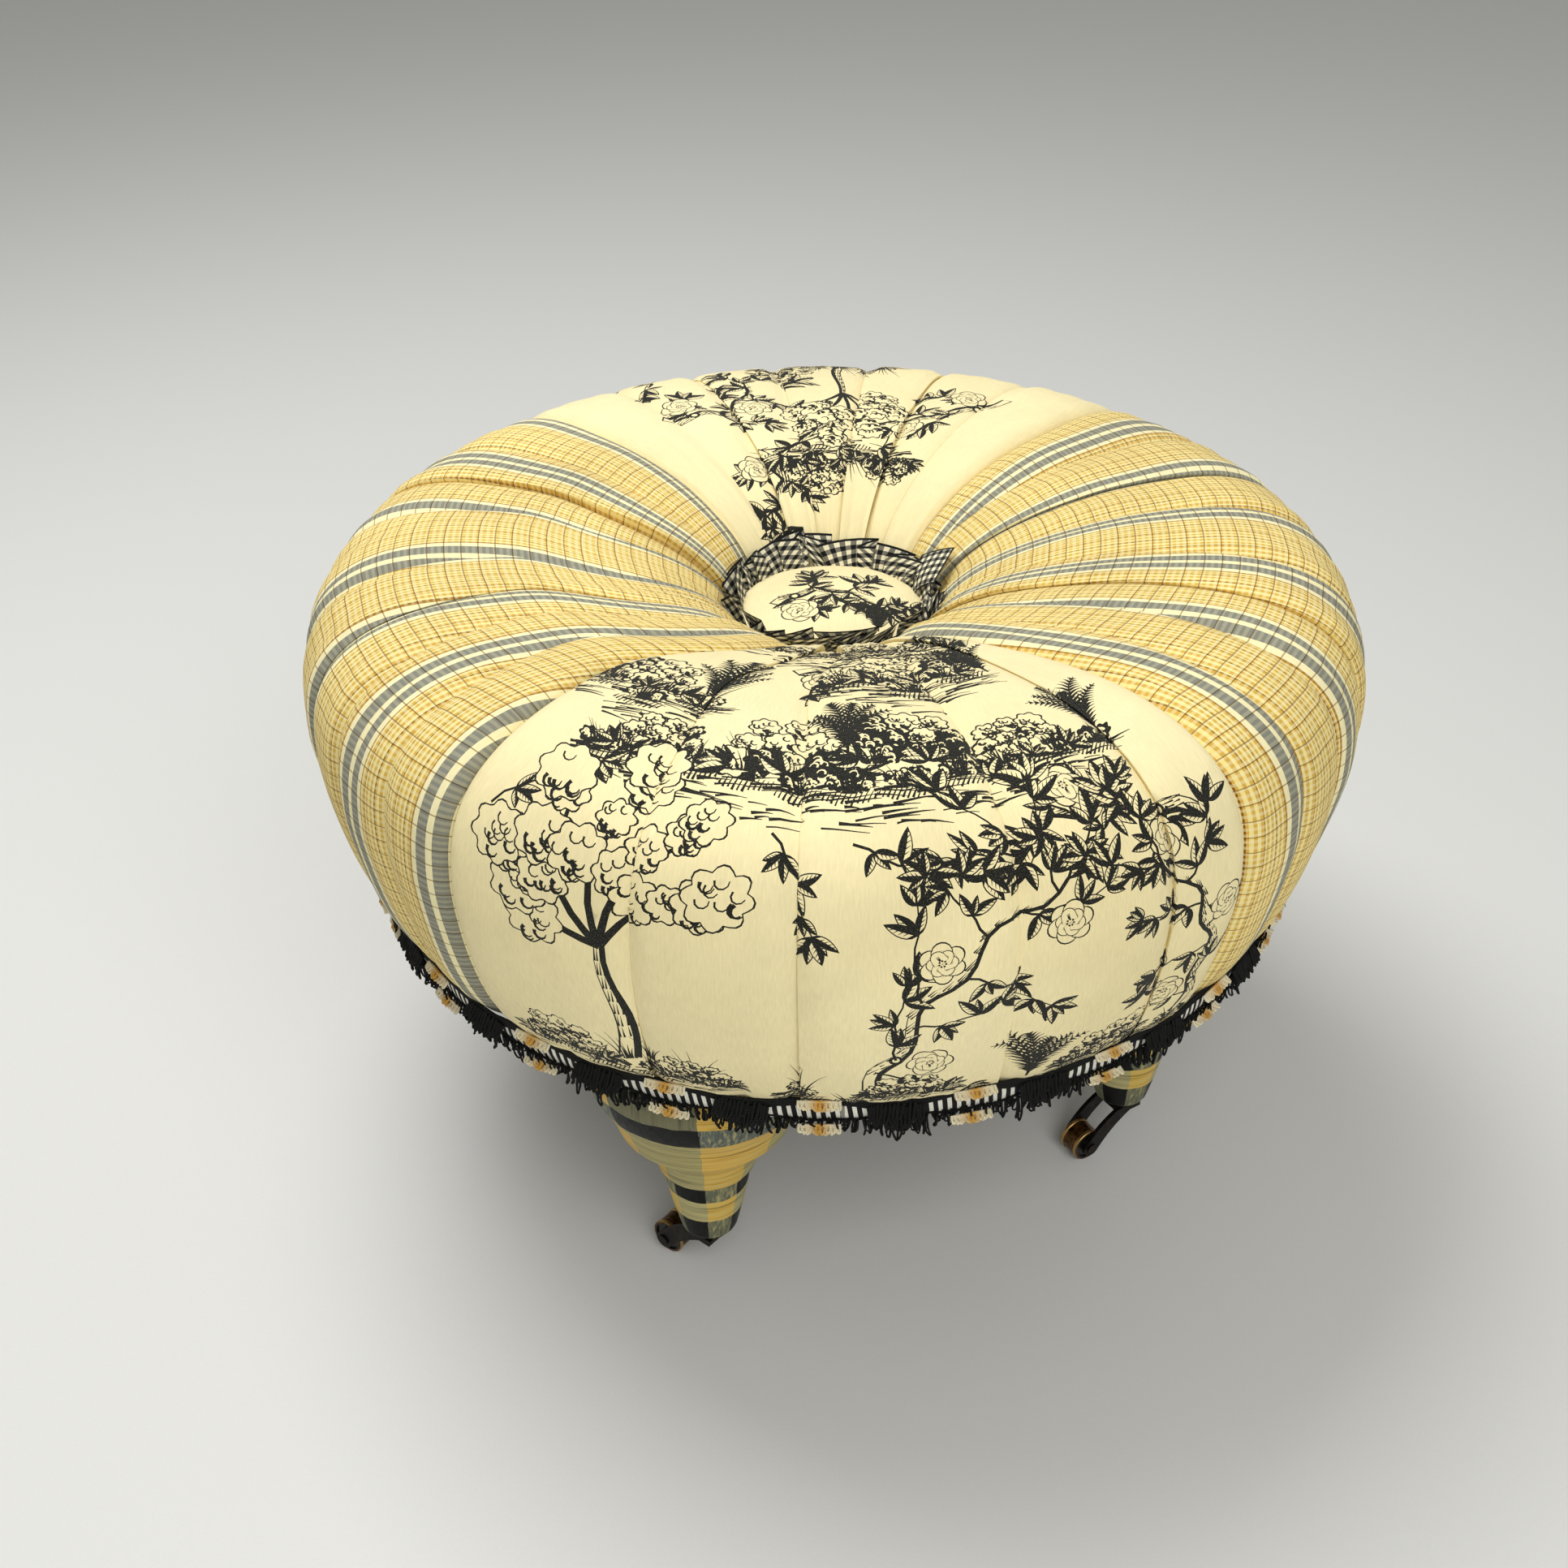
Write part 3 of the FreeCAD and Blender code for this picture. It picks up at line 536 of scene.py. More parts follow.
def piece(name, points, faces, slot, body="root", replaces=(), uv=None, values=None):
    """A smooth mesh that rides on a body. uv holds a point's cloth coordinates in metres, and values
    holds attributes, one number for each face or each point."""
    mesh = bpy.data.meshes.new(name)
    mesh.from_pydata([tuple(point) for point in points], [], [tuple(face) for face in faces])
    mesh.shade_smooth()
    if uv is not None:
        corners = np.empty(len(mesh.loops), int)
        mesh.loops.foreach_get("vertex_index", corners)
        layer = mesh.uv_layers.new(name="cloth")
        layer.data.foreach_set("uv", np.asarray(uv, np.float32)[corners].ravel())
    for label, numbers in (values or {}).items():
        domain = "FACE" if len(numbers) == len(mesh.polygons) else "POINT"
        mesh.attributes.new(label, "FLOAT", domain).data.foreach_set("value", np.asarray(numbers, np.float32))
    mesh.materials.append(materials[slot])
    return settle_in(placed(name, mesh), body, replaces)


def settle_in(made, body="root", replaces=()):
    """Gives a finished piece its body and the solids that it stands for."""
    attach(made, body)
    if replaces:
        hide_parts(*replaces)
    return made


def grid_faces(columns, rows, closed=False):
    """Quads of a grid whose points run along a row first. They face away from along crossed with across."""
    faces = []
    for row in range(rows - 1):
        for column in range(columns if closed else columns - 1):
            following = (column + 1) % columns
            low, high = row * columns, (row + 1) * columns
            faces.append((low + column, high + column, high + following, low + following))
    return faces


def soft_step(value):
    """0 below -1, 1 above 1, and smooth between."""
    share = np.clip((value + 1) / 2, 0, 1)
    return share ** 3 * (share * (6 * share - 15) + 10)


lattice_size = 256
lattice = np.random.default_rng(7).random((lattice_size, lattice_size))

# The layers of the noise that the pieces read
lean_layer, broad_layer, foam_layer, pleat_layer, button_layer = 9, 20, 31, 40, 41
ribbon_edge_layer, ribbon_face_layer, gimp_height_layer, gimp_proud_layer, dust_layer = 61, 62, 71, 73, 81


def ripple(x, y, layer=0):
    """Smooth noise from -1 to 1, with a grain of one unit."""
    x, y = np.asarray(x, float) + 37.3 * layer, np.asarray(y, float) + 11.9 * layer
    column, row = np.floor(x).astype(int), np.floor(y).astype(int)
    across, along = x - column, y - row
    across, along = across ** 2 * (3 - 2 * across), along ** 2 * (3 - 2 * along)

    def pick(right, up):
        return lattice[(column + right) % lattice_size, (row + up) % lattice_size]

    low = pick(0, 0) * (1 - across) + pick(1, 0) * across
    high = pick(0, 1) * (1 - across) + pick(1, 1) * across
    return 2 * (low * (1 - along) + high * along) - 1


# The seat's outline as a line with its normals
def quarter(form, first, last):
    """Points on a quarter of a superellipse between two angles."""
    (middle_r, middle_z), (reach_r, reach_z), fullness = form
    share = np.linspace(0, 1, quarter_points)
    turn = np.radians(first + (last - first) * share ** 2 * (3 - 2 * share))
    across, up = np.cos(turn).clip(0), np.sin(turn).clip(0)
    radius = middle_r + reach_r * across ** (2 / fullness)
    height = middle_z + reach_z * up ** (2 / fullness)
    return np.stack([radius, height], 1)


outline = np.concatenate([quarter(well, 0, 90), quarter(crown, 90, 0)[1:], quarter(flank, 0, 90)[1:]])
run = np.concatenate([[0.0], np.cumsum(np.linalg.norm(np.diff(outline, axis=0), axis=1))])
line_length = run[-1]
slope = np.gradient(outline, run, axis=0)
slope /= np.linalg.norm(slope, axis=1)[:, None]


def radius_at(along):
    """The seat's radius at a share of the way from the well to the foot."""
    return np.interp(np.asarray(along) * line_length, run, outline[:, 0])


def seat(azimuth, along, proud):
    """Points over the seat's outline. Azimuth is in radians from the front, towards the right."""
    at = np.clip(along, 0, 1) * line_length
    radius, height, out, down = (np.interp(at, run, column) for column in (*outline.T, *slope.T))
    radius = radius - down * proud
    height = height + out * proud
    return np.stack([radius * np.sin(azimuth), -radius * np.cos(azimuth), height], -1)


def dip(azimuth, along):
    """How far the seat sinks at the front, between its crown and the button."""
    facing = (azimuth + np.pi) % (2 * np.pi) - np.pi
    return front_dip * np.exp(-((along - dip_middle) / dip_spread) ** 2 - (facing / dip_turn) ** 2)


def gathered(along, at_frill, at_hem):
    """1 over the middle of a panel, and more towards its gathered ends."""
    towards_frill = np.exp(-(along / frill_reach) ** 2)
    towards_hem = np.exp(-((1 - along) / hem_reach) ** 2)
    return 1 + at_frill * towards_frill + at_hem * towards_hem


# The padding's simulation: its grid, its cloth, and the share by the frill over which it fades in
sheet_columns, sheet_rows = 61, 45
cloth_frames = 20
cloth_settings = {"quality": 6, "mass": 0.2, "tension_stiffness": 12, "compression_stiffness": 12,
                  "shear_stiffness": 4, "bending_stiffness": 0.4, "use_pressure": True,
                  "uniform_pressure_force": 4, "shrink_min": -0.03, "shrink_max": -0.03,
                  "vertex_group_mass": "pins"}
calm_share = 0.25
smoothing_rounds = 12


class Panel:
    """One panel of the cover. Its seams give azimuths in degrees for shares along it."""

    def __init__(self, side, first_seam, last_seam, pleats):
        self.side, self.pleats = side, pleats
        self.first_seam, self.last_seam = first_seam, last_seam
        self.layer = sides.index(side)
        self.stray = strays[side]
        self.puffed = None

    def pattern(self, across, along, flat):
        """Where the cloth's own stripes lie, which stray from a seam that is cut across them."""
        away = soft_step((along - stray_middle) / stray_spread)
        first, last = self.stray
        across_now = flat[:, 0] + away * (last * across ** 2 - first * (1 - across) ** 2)
        return np.stack([across_now, flat[:, 1]], -1)

    def shown(self, along):
        """The width that shows, in metres."""
        return radius_at(along) * np.radians(self.last_seam(along) - self.first_seam(along))

    def take(self, along):
        """The cloth that each pleat swallows."""
        return pleat_take * gathered(along, *take_gather)

    def cloth(self, along):
        """The width of the cloth itself."""
        return self.shown(along) + len(self.pleats) * self.take(along)

    def fold(self, number, along):
        """How far across the cloth a pleat's fold lies."""
        return self.pleats[number][0] * self.shown(along) + (number + 0.5) * self.take(along)

    def azimuth(self, share, along):
        first, last = self.first_seam(along), self.last_seam(along)
        return np.radians(first + (last - first) * share)

    def place(self, across, along):
        """Points of the cloth, for shares across and along it."""
        shown, cloth, take = self.shown(along), self.cloth(along), self.take(along)
        turn = pleat_turn * gathered(along, *turn_gather)
        lift = pleat_lift * gathered(along, *lift_gather)
        at = across * cloth
        moved, proud = at.copy(), np.full(len(at), -cloth_sink)
        edges = [0 * at]
        for number, (_, side) in enumerate(self.pleats):
            off = at - self.fold(number, along)
            step = soft_step(off / turn)
            layer = pleat_layer + 9 * self.layer + number
            strong = pleat_strength + pleat_variety * ripple(along * pleat_changes, 0 * along, layer)
            moved = moved - take * step
            away = np.maximum(np.abs(off) - turn, 0)
            proud += side * strong * lift * (0.5 - step) * np.exp(-away / pleat_fade)
            edges.append(self.fold(number, along))
        edges.append(cloth)
        rise = cloth_puff * (puff_ends + puff_middle * np.sin(np.pi * np.clip(along, 0, 1)))
        for low, high in zip(edges, edges[1:]):
            share = np.clip((at - low) / (high - low), 0, 1)
            proud += rise * (4 * share * (1 - share)) ** puff_shape
        proud += self.wrinkles(across, along)
        proud -= seam_dip * np.exp(-np.minimum(at, cloth - at) / seam_spread)
        share = moved / shown
        azimuth = self.azimuth(share, along)
        return seat(azimuth, along, proud + self.push(share, along) - dip(azimuth, along))

    def wrinkles(self, across, along):
        """Gathers at both ends and slack in the middle."""
        wide = across * self.shown(widest_share)
        lean = wave_lean * ripple(wide / lean_wave, along * lean_changes, lean_layer + self.layer)
        fine = 0.5 - np.abs(ripple(wide / wave_step + lean, along * wave_changes, self.layer))
        at_frill = frill_depth * np.exp(-(along / frill_wrinkles) ** 2)
        at_hem = hem_depth * np.exp(-((1 - along) / hem_wrinkles) ** 2)
        broad = ripple(wide / broad_wave, along * line_length / broad_wave_along, broad_layer + self.layer)
        return fine * (at_frill + at_hem + fine_depth) + broad_depth * broad

    def push(self, share, along):
        """How far the simulated padding pushes the cloth, by cubic interpolation on its grid."""
        if self.puffed is None:
            return 0.0
        rows, columns = self.puffed.shape
        total = 0.0
        for down, down_weight in cubic(np.clip(along, 0, 1) * (rows - 1), rows):
            for right, right_weight in cubic(np.clip(share, 0, 1) * (columns - 1), columns):
                total = total + down_weight * right_weight * self.puffed[down, right]
        return total

    def simulate(self):
        """Blows a coarse copy of the panel up under its cloth's own tension, held at its seams and pleats."""
        columns, rows = sheet_columns, sheet_rows
        share, along = paired(np.linspace(0, 1, columns), np.linspace(0, 1, rows))
        start = seat(self.azimuth(share, along), along, np.zeros(len(share)))
        mesh = bpy.data.meshes.new("sheet")
        mesh.from_pydata([tuple(point) for point in start], [], grid_faces(columns, rows))
        sheet = placed("sheet", mesh)
        pins = sheet.vertex_groups.new(name="pins")
        held = (share == 0) | (share == 1) | (along == 0) | (along == 1)
        for place, _ in self.pleats:
            held |= np.abs(share - round(place * (columns - 1)) / (columns - 1)) < 1e-6
        pins.add([int(number) for number in np.flatnonzero(held)], 1.0, "REPLACE")
        cloth = sheet.modifiers.new("cloth", "CLOTH")
        for name, value in cloth_settings.items():
            setattr(cloth.settings, name, value)
        cloth.settings.effector_weights.gravity = 0
        cloth.collision_settings.use_collision = False
        cloth.point_cache.frame_start, cloth.point_cache.frame_end = 1, cloth_frames
        for number in range(1, cloth_frames + 1):
            bpy.context.scene.frame_set(number)
        found = sheet.evaluated_get(bpy.context.evaluated_depsgraph_get()).data
        ends = np.empty(len(start) * 3, np.float32)
        found.vertices.foreach_get("co", ends)
        bpy.data.objects.remove(sheet)
        bpy.context.scene.frame_set(1)
        normal = seat(self.azimuth(share, along), along, np.ones(len(share))) - start
        out = ((ends.reshape(-1, 3) - start) * normal).sum(1) * np.clip(along / calm_share, 0, 1)
        field = (puff_limit * np.tanh(out / puff_limit)).reshape(rows, columns)
        for _ in range(smoothing_rounds):
            field[1:-1] = (field[:-2] + 2 * field[1:-1] + field[2:]) / 4
        self.puffed = field


def cubic(at, count):
    """Four neighbours on a grid line and their weights, for a smooth curve through its points."""
    base = np.clip(np.floor(at).astype(int), 0, count - 2)
    t = at - base
    weights = ((-t ** 3 + 2 * t ** 2 - t) / 2, (3 * t ** 3 - 5 * t ** 2 + 2) / 2,
               (-3 * t ** 3 + 4 * t ** 2 + t) / 2, (t ** 3 - t ** 2) / 2)
    return [(np.clip(base + step - 1, 0, count - 1), weight) for step, weight in enumerate(weights)]


def seam(outer, climb=0.0, pull=0.0, near=1.0, power=2):
    """A seam's azimuth along it: steady over the seat, and drawn in where it nears the frill."""
    return lambda along: outer + climb * along + pull * np.exp(-(np.asarray(along) / near) ** power)


left_course = {"climb": -6.5, "pull": 21.0, "near": 0.285, "power": 6}
front_left = seam(-36.0, **left_course)
front_right = seam(36.0, climb=8.0, pull=-12.0, near=0.30, power=4)
back_right = seam(135.0)
back_left = seam(225.0)
front_left_again = seam(324.0, **left_course)
panels = {
    "front": Panel("front", front_left, front_right, pleats_front),
    "right": Panel("right", front_right, back_right, pleats_right),
    "back": Panel("back", back_right, back_left, pleats_back),
    "left": Panel("left", back_left, front_left_again, pleats_left),
}


# The printed design. Pens: the width in metres at a stroke's start and at its end.
pens = {"vein": (0.0007, 0.0002), "stem": (0.0017, 0.0008), "blade": (0.0017, 0.0002),
        "earth": (0.0015, 0.0004), "hatch": (0.0013, 0.0004), "bark": (0.0011, 0.0002),
        "trunk_bark": (0.0012, 0.0002), "bough": (0.0105, 0.0022), "bough_light": (0.0064, 0.0004),
        "rib": (0.0014, 0.0006)}
curl_pen, shaded_pen, curl_tip = 0.0013, 0.0026, 0.0007
frond_pen = 0.0021
rim_pen = 0.0012
hatch_step = 0.0028
tussock_step = 0.03
strokes_per_area = 24000


def toward(aim):
    """A step of length 1 in a direction."""
    return complex(math.cos(aim), math.sin(aim))


def arc(start, end, count):
    """Points on a circle of radius 1."""
    return np.exp(1j * np.linspace(start, end, count))


class Print:
    """A botanical line design: closed shapes in metres with their ink, later ones over earlier ones.
    Points are complex numbers, with the real axis across and the imaginary axis up the cloth."""

    def __init__(self, seed):
        self.shapes = []
        self.dice = random.Random(seed)

    def about(self, value, spread=0.2):
        return value * (1 + self.dice.uniform(-spread, spread))

    def area(self, points, ink):
        self.shapes.append((np.asarray(points, complex), ink))

    def line(self, points, first, last=0.0002, ink=1.0):
        """A pen stroke along points, from its first width to its last."""
        points = np.asarray(points, complex)
        way = np.gradient(points)
        side = 1j * way / np.maximum(np.abs(way), 1e-9) * np.linspace(first, last, len(points)) / 2
        self.area(np.concatenate([points + side, (points - side)[::-1]]), ink)

    def leaf(self, base, aim, length, width):
        """One leaf, black on one side of its rib and veined on the other."""
        t = np.linspace(0, 1, 8)
        pen = pens["vein"][0]
        way = toward(aim)
        curl = self.dice.uniform(-0.2, 0.2)
        rib = base + way * length * (t + 1j * curl * t * t)
        half = width / 2 * np.sin(np.pi * t ** 0.8) ** 0.85
        side = 1j * way * (1 if self.dice.random() < 0.5 else -1)
        self.area(np.concatenate([rib + side * half, (rib - side * half)[-2:0:-1]]), 1.0)
        low, high = rib + side * pen * 0.4, rib + side * np.maximum(half - pen, pen * 0.4)
        self.area(np.concatenate([low[1:-1], high[-2:1:-1]]), 0.0)
        for share in (2, 3, 4, 5):
            vein = rib[share] + (rib[share + 1] - rib[share]) * 0.8 + side * half[share] * 0.62
            self.line([rib[share], vein], *pens["vein"])

    def spray(self, base, aim, leaves, size, spread=1.15):
        """Leaves fanned from one point."""
        for number in range(leaves):
            turn = aim + spread * (2 * (number + 0.5) / leaves - 1) + self.dice.uniform(-0.15, 0.15)
            long = self.about(size, 0.2)
            self.leaf(base, turn, long, long * self.about(0.40, 0.12))

    def twig(self, base, aim, length, leaves, size=0.016, bend=0.4):
        """A thin crooked stem with sprays of leaves along it and at its tip."""
        t = np.linspace(0, 1, 9)
        bend *= self.dice.choice((-1, 1))
        way = toward(aim)
        stem = base + way * length * (t + 1j * bend * t * t * 0.5 + 0.02j * np.sin(t * 14))
        self.line(stem, *pens["stem"])
        sprays = max(leaves // 2, 1)
        for number in range(sprays):
            share = (number + 0.7) / (sprays + 0.3)
            at = np.interp(share, t, stem.real) + 1j * np.interp(share, t, stem.imag)
            turn = aim + bend * share + (0.85 if number % 2 else -0.85) * self.about(1, 0.25)
            self.spray(at, turn, self.dice.choice((3, 4)), self.about(size, 0.15))
        self.spray(stem[-1], aim + bend, 5, self.about(size, 0.15))
        return stem

    def flower(self, middle, size, petals=6):
        """An open blossom with ribbed petals round a dotted eye."""
        start = self.dice.uniform(0, 6)
        for layer, reach in ((0, 1.0), (1, 0.66)):
            for number in range(petals):
                aim = start + layer * 0.5 + number * 2 * math.pi / petals
                way = toward(aim)
                t = np.linspace(0, np.pi, 9)
                wide = size * reach * 0.50 * self.about(1, 0.1)
                long = size * reach * (0.12 + 0.88 * np.sin(t) ** 0.6)
                tip = middle + way * long + 1j * way * wide * np.cos(t)
                self.area(np.concatenate([[middle], tip]), 1.0)
                self.area(middle + (np.concatenate([[middle], tip]) - middle) * 0.92 + way * size * 0.01, 0.0)
                for side in (-0.5, 0.0, 0.5):
                    rib = middle + way * size * reach * np.linspace(0.25, 0.62, 4) * (1 + 0.25j * side)
                    self.line(rib, *pens["vein"])
        for number in range(7):
            spot = middle + size * 0.14 * toward(number * 0.9)
            self.area(spot + pens["vein"][0] * arc(0, 5.2, 6), 1.0)

    def grass(self, base, count, height, spread=0.5):
        """A tuft of blades that lean apart."""
        for number in range(count):
            lean = spread * (2 * (number + 0.5) / count - 1) * self.about(1, 0.3)
            tall = self.about(height, 0.35)
            t = np.linspace(0, 1, 6)
            blade = base + 0.010 * lean + tall * (1j * t + lean * t * t * (1 - 0.3j * t))
            self.line(blade, *pens["blade"])

    def hatching(self, middle, width, depth, lean=0.5):
        """Slanted pen strokes that shade an oval."""
        first, last = pens["hatch"]
        for number in range(int(width / hatch_step)):
            x = (number + 0.5) * hatch_step - width / 2
            tall = depth * math.sqrt(max(1 - (2 * x / width) ** 2, 0.05)) * self.about(0.8, 0.25)
            t = np.linspace(-0.5, 0.5, 4)
            self.line(middle + x + tall * (1j * t + lean * t + 0.12 * t * t), self.about(first, 0.3), last)

    def bush(self, width, rows=3):
        """A heap of leafy clumps, black at its foot, with sprays and grass round it."""
        for row in range(rows - 1, -1, -1):
            count = 5 - row
            for number in range(count):
                x = (number + 0.5) / count - 0.5
                at = width * complex(x * (1 - 0.16 * row), 0.05 + 0.17 * row - 0.22 * x * x)
                self.crown(at, self.about(width * 0.135, 0.2), dark=self.dice.random() < 0.5 - 0.2 * row)
        for side in (-1, 1):
            self.spray(width * complex(0.42 * side, -0.02), 1.57 - 1.1 * side, 5, width * 0.22)
            self.grass(width * complex(0.30 * side, -0.06), 7, width * 0.20)
        self.spray(width * complex(self.dice.uniform(-0.1, 0.1), -0.06), 1.57, 6, width * 0.20, 1.4)

    def ground(self, width, depth):
        """A bank of earth: heaps of leaves and tufts over broken pen lines."""
        for _ in range(int(width * depth * strokes_per_area)):
            x = self.dice.uniform(-0.5, 0.5)
            y = self.dice.random() ** 1.6
            at = complex(x * width, -y * depth * (1 - 2 * x * x) - 0.004 * math.cos(9 * x))
            long = self.about(0.018, 0.6)
            t = np.linspace(-0.5, 0.5, 5)
            rise = 0.002 * (0.25 - t * t) + t * long * 0.15 * self.dice.uniform(-1, 1)
            first, last = pens["earth"]
            self.line(at + long * t + 1j * rise, self.about(first, 0.5), last)
        tussocks = int(width / tussock_step)
        for number in range(tussocks):
            x = (number + 0.5) / tussocks - 0.5
            at = complex(x * width, -0.006 * math.cos(9 * x))
            self.hatching(at - 0.006j, 0.032, 0.012)
            for step in (-0.007, 0.0, 0.007):
                self.crown(at + step + 0.003j, self.about(0.0065, 0.25), dark=step != 0)
            self.grass(at - 0.004j, 8, self.about(0.019, 0.5))

    def bough(self, length, clusters=5, blooms=2):
        """A gnarled bough with bark and a knot, side twigs and blossoms."""
        t = np.linspace(0, 1, 22)
        sway = self.dice.uniform(0.7, 1.2)
        path = length * (t + 1j * (0.22 * np.sin(t * 3.4 * sway) + 0.03 * np.sin(t * 19)))
        thick = np.interp(t, (0, 1), pens["bough"])
        self.line(path, *pens["bough"])
        self.line(path + 0.0014j, *pens["bough_light"], 0.0)
        for number in range(2, 20):
            for rank in (-0.1, 0.15, 0.38):
                at = path[number] + 1j * rank * thick[number]
                self.line(at + np.linspace(-0.5, 0.5, 3) * self.about(0.007, 0.5), *pens["bark"])
        for radius, ink in ((0.0042, 1.0), (0.0022, 0.0)):
            self.area(path[4] + radius * arc(0, 5.5, 10), ink)
        for number in range(clusters):
            share = int((number + 0.9) / (clusters + 0.2) * 21)
            aim = (1 if number % 2 else -1) * self.about(1.0, 0.3)
            self.twig(path[share], aim, self.about(length * 0.32), self.dice.choice((4, 5, 6)))
        self.twig(path[-1], 0.3, length * 0.3, 6)
        for number in range(blooms):
            self.flower(path[5 + 7 * number] + self.about(0.018, 0.2) * (1j if number % 2 else -1j), 0.014)

    def tree(self, height):
        """A small tree with forked limbs, leafy crowns and grass at its foot."""
        t = np.linspace(0, 1, 10)
        trunk = height * (0.50j * t + 0.022 * np.sin(t * 5))
        self.line(trunk, height * 0.070, height * 0.034)
        self.line(trunk - height * 0.008, height * 0.040, height * 0.014, 0.0)
        for number in range(2, 9):
            for rank in (-0.020, -0.010, 0.004):
                mark = 1j * np.linspace(0, 0.05, 3) + rank * (1.3 - 0.07 * number)
                self.line(trunk[number] + height * mark, *pens["trunk_bark"])
        for aim, reach in ((2.5, 0.42), (1.95, 0.5), (1.45, 0.55), (1.0, 0.48), (0.55, 0.4)):
            way = toward(aim)
            limb = trunk[-1] + way * height * reach * (t + 0.12j * np.sin(t * 4))
            self.line(limb, height * 0.026, 0.0016)
            for share in (4, 6, 8, 9):
                self.crown(limb[share] + self.about(0.007, 0.9) * 1j * way, self.about(height * 0.082, 0.25))
        for lean in (-0.02, 0.0, 0.018):
            self.grass(lean - 0.002j, 8, 0.018)

    def crown(self, middle, size, scallops=8, dark=False):
        """A clump of foliage with a scalloped outline: pale with curled strokes, or black with pale ones."""
        turn = np.linspace(0, 2 * np.pi, 5 * scallops, endpoint=False)
        bumps = np.abs(np.sin(turn * scallops / 2 + self.dice.uniform(0, 3)))
        rim = size * (0.80 + 0.24 * bumps) * (np.cos(turn) + 0.9j * np.sin(turn))
        self.area(middle + rim, 1.0)
        if not dark:
            self.area(middle + rim * (1 - rim_pen / size), 0.0)
        for _ in range(9):
            aim = self.dice.uniform(0, 2 * math.pi)
            at = middle + size * (0.62 * math.sqrt(self.dice.random()) * toward(aim) - 0.1j)
            shaded = (at - middle).imag < -0.1 * size
            curl = np.linspace(2.6, 6.0, 6) + self.dice.uniform(-0.5, 0.5) + (3.1 if dark else 0)
            thick = curl_pen if dark or not shaded else shaded_pen
            self.line(at + size * 0.20 * np.exp(1j * curl), thick, curl_tip, 0.0 if dark else 1.0)

    def fern(self, height, fronds=5):
        """Arching fronds from one root."""
        for number in range(fronds):
            lean = 1.1 * (2 * (number + 0.5) / fronds - 1)
            tall = self.about(height, 0.15) * (1 - 0.25 * abs(lean))
            t = np.linspace(0, 1, 16)
            rib = tall * (1j * np.sin(t * 1.35) + lean * t * t * 0.8)
            self.line(rib, *pens["rib"])
            for step in range(2, 15):
                way = rib[step] - rib[step - 1]
                way /= abs(way)
                long = tall * 0.20 * math.sin(math.pi * (step / 16) ** 0.7)
                for side in (1j, -1j):
                    tip = rib[step] + way * long * (0.6 + side)
                    mid = rib[step] + way * long * (0.38 + side * 0.45) * 1.05
                    self.line([rib[step], mid, tip], frond_pen)

    def put(self, panel, motif, across, along, sizes, turn=0.0, flip=1):
        """Draws a motif on a panel, at shares across and along it."""
        first = len(self.shapes)
        motif(self, *sizes)
        spin = toward(turn)
        for number in range(first, len(self.shapes)):
            points, ink = self.shapes[number]
            points = (points if flip > 0 else -points.conj()) * spin
            down = along - points.imag / line_length
            self.shapes[number] = (across + points.real / panel.cloth(down) + 1j * down, ink)


# The panels' designs: each motif, its shares across and along, its sizes, and where needed its turn and flip
front_design = (
    (Print.ground, 0.50, 0.22, (0.150, 0.034)),
    (Print.bush, 0.22, 0.22, (0.044,)),
    (Print.bush, 0.50, 0.205, (0.062,)),
    (Print.bush, 0.78, 0.23, (0.046,)),
    (Print.bough, 0.36, 0.30, (0.085, 5, 1), 0.1),
    (Print.ground, 0.64, 0.34, (0.110, 0.030)),
    (Print.bush, 0.66, 0.325, (0.070,)),
    (Print.fern, 0.83, 0.34, (0.052, 6)),
    (Print.ground, 0.14, 0.40, (0.100, 0.026)),
    (Print.bush, 0.11, 0.385, (0.062,)),
    (Print.fern, 0.24, 0.385, (0.050, 6)),
    (Print.ground, 0.50, 0.505, (0.330, 0.030)),
    (Print.bush, 0.22, 0.490, (0.060,)),
    (Print.bush, 0.42, 0.490, (0.088,)),
    (Print.bush, 0.59, 0.480, (0.074,)),
    (Print.fern, 0.50, 0.470, (0.050, 6)),
    (Print.bush, 0.75, 0.495, (0.058,)),
    (Print.fern, 0.88, 0.490, (0.048, 6)),
    (Print.bough, 0.93, 0.62, (0.125, 6, 2), 0.05, -1),
    (Print.twig, 0.50, 0.58, (0, -0.5, 0.070, 8)),
    (Print.twig, 0.40, 0.57, (0, -0.9, 0.060, 7)),
    (Print.twig, 0.05, 0.60, (0, 0.9, 0.075, 7)),
    (Print.tree, 0.22, 0.915, (0.200,)),
    (Print.ground, 0.22, 0.935, (0.130, 0.024)),
    (Print.bush, 0.14, 0.925, (0.060,)),
    (Print.bush, 0.31, 0.935, (0.050,)),
    (Print.bough, 0.52, 0.93, (0.185, 8, 3), 0.80),
    (Print.ground, 0.50, 0.955, (0.095, 0.018)),
    (Print.bush, 0.56, 0.945, (0.052,)),
    (Print.bough, 0.93, 0.93, (0.150, 7, 2), -1.20, -1),
    (Print.bush, 0.82, 0.945, (0.066,)),
    (Print.ground, 0.86, 0.955, (0.110, 0.018)),
    (Print.fern, 0.72, 0.96, (0.055, 6)),
)
